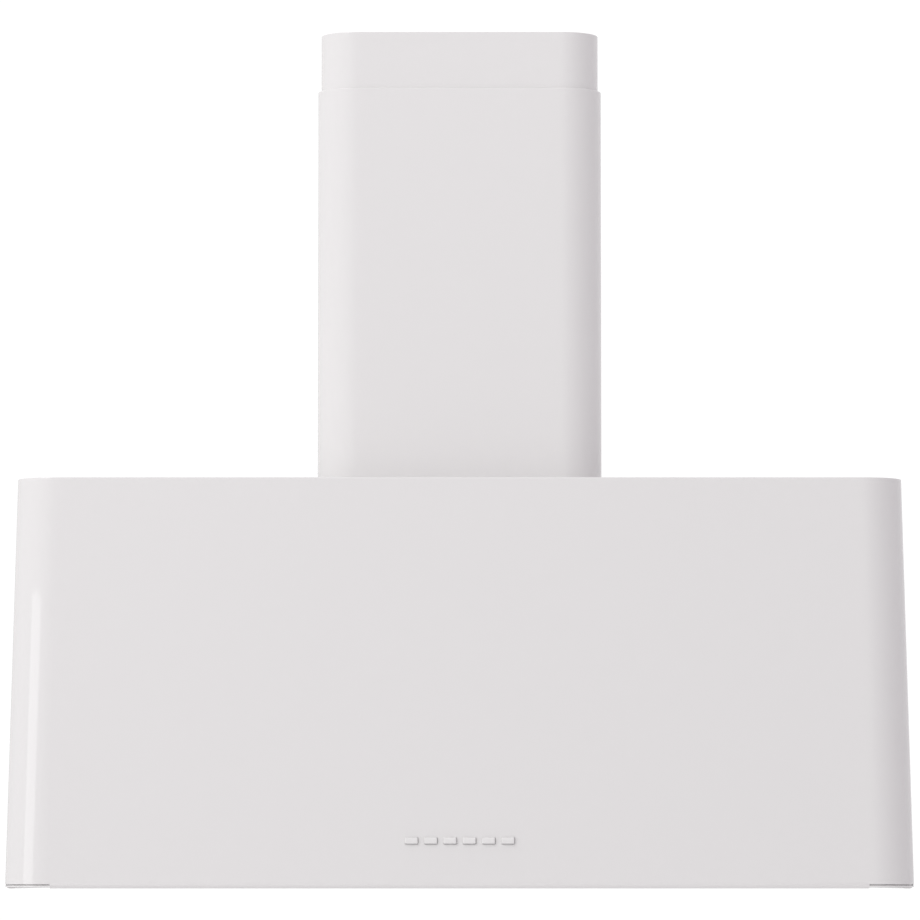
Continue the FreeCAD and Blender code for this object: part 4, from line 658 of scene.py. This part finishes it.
def sleeve(node, corner, size, lip=0.0):
    """A wall section with eased ends carried round a rounded rectangle, the same at every height.

    With a lip, the top folds inwards by that depth, which ends just clear of the other flue.
    """
    low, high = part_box(node)
    sheet, ease, lip_ease = size.sheet, 0.55 * MM, 0.3 * MM
    if lip:
        bend, under = size.rim_bend, high.z - sheet
        wall = [(0, high.z - bend - FLAT)] + arc((bend, high.z - bend), bend, 180, 90, 6)
        wall += arc((lip - lip_ease, high.z - lip_ease), lip_ease, 90, 0, 2)
        wall += arc((lip - lip_ease, under + lip_ease), lip_ease, 0, -90, 2) + [(sheet, under - FLAT)]
    else:
        wall = [(0, high.z - ease - FLAT)] + arc((ease, high.z - ease), ease, 180, 90, 4)
        wall += arc((sheet - ease, high.z - ease), ease, 90, 0, 4) + [(sheet, high.z - ease - FLAT)]
    rings = (high.z - 30 * MM, (low.z + high.z) / 2, low.z + 30 * MM)
    wall += [(sheet, z) for z in rings]
    wall += [(sheet, low.z + ease + FLAT)] + arc((sheet - ease, low.z + ease), ease, 0, -90, 4)
    wall += arc((ease, low.z + ease), ease, 270, 180, 4) + [(0, low.z + ease + FLAT)]
    wall += [(0, z) for z in rings[::-1]]
    depth, level = np.array(wall).T[:, :, None]
    run = (-0.9, -0.5, 0, 0.5, 0.9)
    return solid(Outline(24, run, run).at(high.x - depth, high.y - depth, corner - depth, level), ring=True)


def countersink(half, side, y, z):
    """A cone for a flush screw's head, turned round an axis along X at one side of the flue."""
    # Radius, and distance out from the flue's face, in mm.
    profile = [(5.7, 1.5), (4.2, 0), (2.4, -1.8), (2.4, -6)]
    across, up, out = turned(np.array(profile) * MM, (0, 0, 0), 40).transpose(2, 0, 1)
    return solid(np.stack([side * (half + out), y + across, z + up], axis=-1))


# ---------------------------------------------------------------- the push buttons


class HOOD_OT_buttons(bpy.types.Operator):
    """Build the six push buttons, each a moulded cap with its shoulder and stem"""

    bl_idname = "hood.buttons"
    bl_label = "Push buttons"

    def execute(self, context):
        size = context.scene.hood_sizes
        for name in BUTTONS:
            node = f"{name}_button"
            piece(f"{name}_cap", [button(node, size)], "white_plastic", name, [node])
        finish_node("button_carrier", "dark_plastic", 0.4 * MM)
        finish_node("push_switches", "dark_plastic", 0.3 * MM)
        finish_node("control_board", "circuit_board", 0.3 * MM)
        return {"FINISHED"}


def button(node, size):
    """A rounded rectangle carried along Y, whose half sizes follow the cap, the shoulder and then the stem.

    The cap's face is a shallow crown: it falls from the middle to the edge as the square of the distance.
    """
    low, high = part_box(node)
    centre, (wide, tall) = cap_size(node)
    edge, crown, front = size.button_edge, 0.25 * MM, low.y
    # Each row is how far it lies inside the cap's outline, and its place along Y.
    rows = [(inset, front + crown * (1 - inset / tall) ** 2) for inset in np.linspace(tall * 0.97, edge, 6)]
    start = rows[-1][1]
    for turn in np.radians([18, 36, 54, 72, 90]):
        rows.append((edge * (1 - sin(turn)), start + edge * (1 - cos(turn))))
    shoulder, back, neck = front + 4.5 * MM, front + 6 * MM, front + 15.8 * MM
    out = -1.75 * MM
    rows += [(0, shoulder), (out, shoulder), (out, back), (0, back), (0, neck)]
    inset, cap_depth = np.array(rows).T[:, :, None]
    # Each row is the stem's half size, and its place along Y.
    stem = [(1.5 * MM, neck), (1.5 * MM, high.y - 0.3 * MM), (1.2 * MM, high.y)]
    half, stem_depth = np.array(stem).T[:, :, None]
    outline = Outline(6)
    largest = 0.9 * (min(wide, tall) - np.maximum(inset, 0))
    radius = np.minimum(np.maximum(size.button_corner - inset, 0.12 * MM), largest)
    cap = outline.at(wide - inset, tall - inset, radius, 0, centre)
    flat = np.concatenate([cap, outline.at(half, half, 0.2 * MM, 0, centre)])
    depth = np.concatenate([cap_depth, stem_depth])
    return solid(np.stack(np.broadcast_arrays(flat[..., 0], depth, flat[..., 1]), axis=-1))


# ---------------------------------------------------------------- the underside


class HOOD_OT_liner(bpy.types.Operator):
    """Build the enamelled liner that closes the canopy's underside"""

    bl_idname = "hood.liner"
    bl_label = "Liner"

    def execute(self, context):
        size = context.scene.hood_sizes
        low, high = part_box("canopy_liner")
        screw_x, screw_y, apart = 413 * MM, 120 * MM, 8 * MM
        screws = [(sx * screw_x, sy * (screw_y + step)) for sx, sy in CORNERS for step in (-apart, apart)]
        cutters = [bore((x, y, high.z), 33 * MM, 72) for x, y in lamp_places()]
        cutters += [bore((x, y, high.z), 2.3 * MM, 24) for x, y in screws]
        piece("underside_liner", [liner(low, high, size)], "white_enamel", "hood",
              ["canopy_liner"], cutters)
        return {"FINISHED"}


def lamp_places():
    """The four lamps' centres, one lens's radius inside the corners of the lenses' box."""
    low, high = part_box("lamp_lenses")
    lens = 30 * MM
    return CORNERS * ((high.x - low.x) / 2 - lens, (high.y - low.y) / 2 - lens)


def bore(place, radius, stations):
    """A round cutter through the liner's web."""
    return solid(turned([(radius, -4 * MM), (radius, 3 * MM)], place, stations))


def liner(low, high, size):
    """The liner's section carried from the rim's rounded rectangle to the filter opening's.

    Its rows run up the rim outside and over the fold, across the web to the opening's edge, and back
    underneath. Under the canopy's cut-short corners the rim's lower end turns outwards; along the straight
    runs it ends higher, above the canopy's hem.
    """
    sheet, bend, edge = size.sheet, size.liner_bend, 0.35 * MM
    top, under, foot, waist = high.z, high.z - size.sheet, low.z, low.z + 12 * MM
    lip, turn_out = 1.6 * MM, 2 * MM
    outer = [(0, foot + edge), (0, foot + lip), (0, foot + lip + edge), (0, waist)]
    outer += arc((bend, top - bend), bend, 180, 90, 6)
    inner = arc((bend, top - bend), bend - sheet, 90, 180, 5)
    inner += [(sheet, waist), (sheet, foot + edge), (sheet - edge, foot), (edge, foot)]
    reach = (high.x - size.liner_corner, high.y - size.liner_corner)
    run = (-0.8, -0.4, 0, 0.4, 0.8)
    outline, whole = cut_outline(reach, size.corner_run, run, run)

    def rim(section):
        depth, level = np.array(section).T[:, :, None]
        near = level < foot + lip + 0.5 * edge
        level = np.where(whole & near, level + size.hem_bend / 2, level)
        depth = np.where(~whole & near & (depth < 0.5 * sheet), depth - turn_out, depth)
        return outline.at(high.x - depth, high.y - depth, size.liner_corner - depth, level)

    mouth_x, mouth_y, mouth_corner = 376 * MM, 178 * MM, 1.5 * MM
    mouth = [(-edge, top), (0, top - edge), (0, under + edge), (-edge, under)]
    depth, level = np.array(mouth).T[:, :, None]
    hole = outline.at(mouth_x - depth, mouth_y - depth, mouth_corner, level)
    return solid(np.concatenate([rim(outer), hole, rim(inner)]), ring=True)


class HOOD_OT_filters(bpy.types.Operator):
    """Build the three grease filters: baffles, latch springs, and the finish of their frames and latches"""

    bl_idname = "hood.filters"
    bl_label = "Grease filters"

    def execute(self, context):
        size = context.scene.hood_sizes
        for side in FILTERS:
            name = f"filter_{side}"
            strips, springs = f"{name}_baffles", f"{name}_springs"
            piece(f"{name}_channels", baffles(strips, size), "stainless", name, [strips], crease=50)
            piece(f"{name}_coils", coils(springs, size), "spring_steel", f"latch_{side}",
                  [springs], crease=60)
            finish_node(f"{name}_frame", "filter_aluminium", 0.5 * MM, 3)
            finish_node(f"{name}_latch", "grey_plastic", 0.6 * MM, 3)
        return {"FINISHED"}


def baffles(node, size):
    """Folded strips: a U section carried along Y, seven open upwards below and six open downwards above."""
    low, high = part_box(node)
    middle, bend = (low.x + high.x) / 2, size.baffle_bend
    half, deep, sheet, ease, pitch = 12 * MM, 3.2 * MM, 0.8 * MM, 0.15 * MM, 32 * MM
    side = arc((half - bend, bend), bend, -90, 0, 4) + [(half, deep - ease), (half - ease, deep)]
    side += [(half - sheet + ease, deep), (half - sheet, deep - ease)]
    side += arc((half - bend, bend), bend - sheet, 0, -90, 3)
    section = np.concatenate([side, np.array(side[::-1]) * (-1, 1)])
    along = np.array([low.y, low.y + 0.12 * (high.y - low.y), (low.y + high.y) / 2, high.y])
    strips = []
    for count, level, up in ((7, low.z, 1), (6, high.z, -1)):
        for number in range(count):
            x = middle + (number - (count - 1) / 2) * pitch + section[:, 0]
            points = np.broadcast_arrays(x[None, :], along[:, None], (level + up * section[:, 1])[None, :])
            strips.append(solid(np.stack(points, axis=-1), ends="face"))
    return strips


def coils(node, size):
    """Two springs, each a circle carried along a helix about an axis along Y.

    The turn and the advance grow together, but for most of the first and the last turn, which lie flat.
    """
    low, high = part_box(node)
    wire, sides = size.spring_wire / 2, 8
    short = 0.7 * MM  # leaves the far end clear of the baffles when the latch is drawn
    level, outer = (low.z + high.z) / 2, (high.z - low.z) / 2
    turns, steps, lying = 7, 20, 0.75
    share = np.linspace(0, 1, turns * steps + 1)[:, None]
    advance = np.clip((share * turns - lying) / (turns - 2 * lying), 0, 1)
    angle = 2 * pi * turns * share
    along = low.y + wire + advance * (high.y - low.y - 2 * wire - short)
    around = np.linspace(0, 2 * pi, sides, endpoint=False)[None, :]
    reach = outer - wire + wire * np.cos(around)
    springs = []
    for x in (low.x + outer, high.x - outer):
        points = (x + reach * np.cos(angle), along + wire * np.sin(around), level + reach * np.sin(angle))
        springs.append(solid(np.stack(points, axis=-1)))
    return springs


# The lamps' turned sections, as radius and height in mm.
BEZEL = np.array(arc((29.2, 0.7), 0.7, 180, 270, 4) + arc((36, 2.4), 2.4, 270, 345, 6) + [
    (38, 2.6), (37.9, 3), (31.9, 3), (31.9, 12.8), (31.7, 13), (30.5, 13), (30.3, 12.8), (30.3, 1.6),
    (30.1, 1.5), (28.7, 1.5), (28.5, 1.3),
])
LENS = np.array([
    (0.4, 0), (8, 0.05), (16, 0.2), (24, 0.45), (29.2, 0.7), (29.8, 0.9), (30, 1.2), (30, 2.7), (29.7, 3),
    (0.4, 3),
])


class HOOD_OT_lamps(bpy.types.Operator):
    """Build the four lamps: a turned bezel and a frosted lens, and the finish of the cans and boards"""

    bl_idname = "hood.lamps"
    bl_label = "Lamps"

    def execute(self, context):
        foot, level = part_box("lamp_bezels")[0].z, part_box("lamp_lenses")[0].z
        places = lamp_places()
        bezels = [solid(turned(BEZEL * MM, (x, y, foot), 96), ring=True) for x, y in places]
        piece("lamp_rings", bezels, "stainless", "hood", ["lamp_bezels"], crease=38)
        discs = [solid(turned(LENS * MM, (x, y, level), 72)) for x, y in places]
        piece("lamp_discs", discs, "frosted_glass", "hood", ["lamp_lenses"], crease=45)
        finish_node("lamp_cans", "lamp_can_metal", 0.3 * MM)
        finish_node("lamp_boards", "led_board", 0.2 * MM)
        return {"FINISHED"}


# ---------------------------------------------------------------- the frame and the blower


class HOOD_OT_inner_works(bpy.types.Operator):
    """Finish the CAD nodes of the telescopic frame, the blower and the electrics"""

    bl_idname = "hood.inner_works"
    bl_label = "Frame and blower"

    def execute(self, context):
        places = [f"{end}_{side}" for end in ("front", "rear") for side in ("left", "right")]
        folded = ["ceiling_plate", "upper_frame_brace", "frame_base_plate", "canopy_posts", "motor_bracket"]
        folded += [f"{part}_upright_{place}" for part in ("upper", "lower") for place in places]
        for node in folded + ["blower_housing_left", "blower_housing_right"]:
            finish_node(node, "galvanised", 0.3 * MM)
        for node in ("cable_gland", "outlet_adapter", "duct_collar"):
            finish_node(node, "dark_plastic", 0.4 * MM)
        finish_node("impeller", "dark_plastic", 0)
        for node in ("damper_flap_front", "damper_flap_rear", "junction_box"):
            finish_node(node, "grey_plastic", 0.4 * MM)
        finish_node("motor", "motor_black", 0.5 * MM)
        finish_node("motor_shaft", "zinc_screw", 0.2 * MM)
        finish_node("capacitor", "capacitor_can", 0.4 * MM)
        return {"FINISHED"}


class HOOD_OT_fixings(bpy.types.Operator):
    """Finish the screws, bolts and studs"""

    bl_idname = "hood.fixings"
    bl_label = "Screws and studs"

    def execute(self, context):
        for node in ("upper_flue_screws", "liner_screws", "frame_screws", "blower_screws", "skin_studs"):
            finish_node(node, "zinc_screw", 0.2 * MM)
        return {"FINISHED"}


# ---------------------------------------------------------------- the studio

FLOOR_LEVEL, FLOOR_REACH = -7.5, 60
# Each soft light's name, its place, the point it faces, its width, height and radiance.
SOFT_LIGHTS = (
    ("corner_softbox", (-2.78, -2.12, -0.62), (-0.42, -0.27, -0.62), 1.5, 0.72, 1.8),
    ("key_light", (-2.3, -2.7, 1.6), (0, -0.25, -0.5), 1.8, 1.8, 3.2),
    ("top_light", (0, 0, 1.7), (0, 0, -0.5), 1.4, 1.4, 1.45),
)
# The light's colour by the angle round the hood, in degrees from the front, to the right positive.
SURROUND = (
    (-180, (0.8, 0.8, 0.8)),
    (-110, (0.71, 0.695, 0.7)),
    (-60, (0.65, 0.635, 0.64)),
    (-14, (0.71, 0.705, 0.705)),
    (6, (0.73, 0.725, 0.725)),
    (24, (0.51, 0.485, 0.505)),
    (60, (0.46, 0.43, 0.455)),
    (112, (0.48, 0.45, 0.475)),
    (138, (0.7, 0.69, 0.7)),
    (180, (0.8, 0.8, 0.8)),
)
SURROUND_GLOW, FROM_ABOVE = 1.025, 0.5  # its strength at the horizon, and how much stronger it is overhead
BACKDROP_GLOW = 1.05  # the plain white that is seen behind the hood
CAMERA_PLACE, CAMERA_LIFT = (0.0004, -6.05, -0.864), radians(4.121)
CAMERA_LENS, CAMERA_SENSOR = 228.3, 36  # in millimetres


class HOOD_OT_studio(bpy.types.Operator):
    """Set the floor, the soft lights, the pale surround and the camera"""

    bl_idname = "hood.studio"
    bl_label = "Studio"

    def execute(self, context):
        corners = np.column_stack([CORNERS * FLOOR_REACH, np.full(4, FLOOR_LEVEL)])
        mesh = bpy.data.meshes.new("floor")
        mesh.from_pydata(corners, [], [(0, 1, 2, 3)])
        floor = bpy.data.objects.new("floor", mesh)
        context.scene.collection.objects.link(floor)
        mesh.materials.append(floor_paint(tuple(context.scene.hood_colours.floor)))
        for light in SOFT_LIGHTS:
            soft_box(*light)
        surround(context.scene)
        context.scene.view_settings.view_transform = "Standard"
        data = bpy.data.cameras.new("camera")
        data.lens, data.sensor_width = CAMERA_LENS, CAMERA_SENSOR
        camera = bpy.data.objects.new("camera", data)
        camera.location = CAMERA_PLACE
        camera.rotation_euler = (pi / 2 + CAMERA_LIFT, 0, 0)
        context.scene.collection.objects.link(camera)
        context.scene.camera = camera
        return {"FINISHED"}


def floor_paint(base):
    """A matt floor, very slightly uneven in tone."""
    made = bpy.data.materials.new("floor_paint")
    made.use_nodes = True
    b = Bench(made.node_tree)
    cloud = b.noise(0.6, 3)
    b.surface({
        "Base Color": b.blend(cloud, shade(base, 0.985), shade(base, 1.015)),
        "Roughness": 0.6 + 0.1 * cloud,
    })
    return made


def soft_box(name, place, target, width, height, glow):
    """A flat soft light that faces a target; glow is its radiance."""
    data = bpy.data.lights.new(name, "AREA")
    data.shape, data.size, data.size_y = "RECTANGLE", width, height
    data.energy = glow * pi * width * height
    light = bpy.data.objects.new(name, data)
    light.location = place
    light.rotation_euler = (Vector(target) - Vector(place)).to_track_quat("-Z", "Y").to_euler()
    bpy.context.scene.collection.objects.link(light)


def surround(scene):
    """A pale world: plain white to look at, and as a light dimmer on the hood's right."""
    world = bpy.data.worlds.new("surround")
    world.use_nodes = True
    scene.world = world
    b = Bench(world.node_tree)
    toward = b.add("ShaderNodeTexCoord")
    across = b.add("ShaderNodeSeparateXYZ", {}, {"Vector": toward})
    away, up = (Wire(b, across.socket.node.outputs[axis]) for axis in ("Y", "Z"))
    turn = across.maths("ARCTAN2", across, -1 * away) / (2 * pi) + 0.5
    stops = [(degrees / 360 + 0.5, tint) for degrees, tint in SURROUND]
    glow = b.add("ShaderNodeValToRGB", {"stops": stops}, {"Fac": turn})
    strength = SURROUND_GLOW * (1 + FROM_ABOVE * up.clamped())
    seen = b.add("ShaderNodeLightPath")
    light = b.add("ShaderNodeBackground", {}, {"Color": glow, "Strength": strength})
    plain = b.add("ShaderNodeBackground", {}, {"Color": (1.0, 1.0, 1.0), "Strength": BACKDROP_GLOW})
    both = b.add("ShaderNodeMixShader", {}, {0: seen, 1: light, 2: plain})
    b.add("ShaderNodeOutputWorld", {}, {"Surface": both})


# ---------------------------------------------------------------- panel, registration and run


STEPS = (
    HOOD_OT_studio,
    HOOD_OT_canopy,
    HOOD_OT_flues,
    HOOD_OT_buttons,
    HOOD_OT_liner,
    HOOD_OT_filters,
    HOOD_OT_lamps,
    HOOD_OT_inner_works,
    HOOD_OT_fixings,
)


class HOOD_PT_panel(bpy.types.Panel):
    """The hood's sizes, colours and steps"""

    bl_idname = "HOOD_PT_panel"
    bl_label = "Range hood"
    bl_space_type = "VIEW_3D"
    bl_region_type = "UI"
    bl_category = "Range hood"

    def draw(self, context):
        for group in (context.scene.hood_sizes, context.scene.hood_colours):
            column = self.layout.column(align=True)
            for key in group.__annotations__:
                column.prop(group, key)
        for step in STEPS:
            self.layout.operator(step.bl_idname)


CLASSES = (HoodSizes, HoodColours, *STEPS, HOOD_PT_panel)


def register():
    for each in CLASSES:
        bpy.utils.register_class(each)
    bpy.types.Scene.hood_sizes = bpy.props.PointerProperty(type=HoodSizes)
    bpy.types.Scene.hood_colours = bpy.props.PointerProperty(type=HoodColours)


def unregister():
    del bpy.types.Scene.hood_colours
    del bpy.types.Scene.hood_sizes
    for each in reversed(CLASSES):
        bpy.utils.unregister_class(each)


def main():
    register()
    for step in STEPS:
        area, name = step.bl_idname.split(".")
        if getattr(getattr(bpy.ops, area), name)() != {"FINISHED"}:
            raise RuntimeError(f"{step.bl_label} did not finish")


if __name__ == "__main__":
    main()
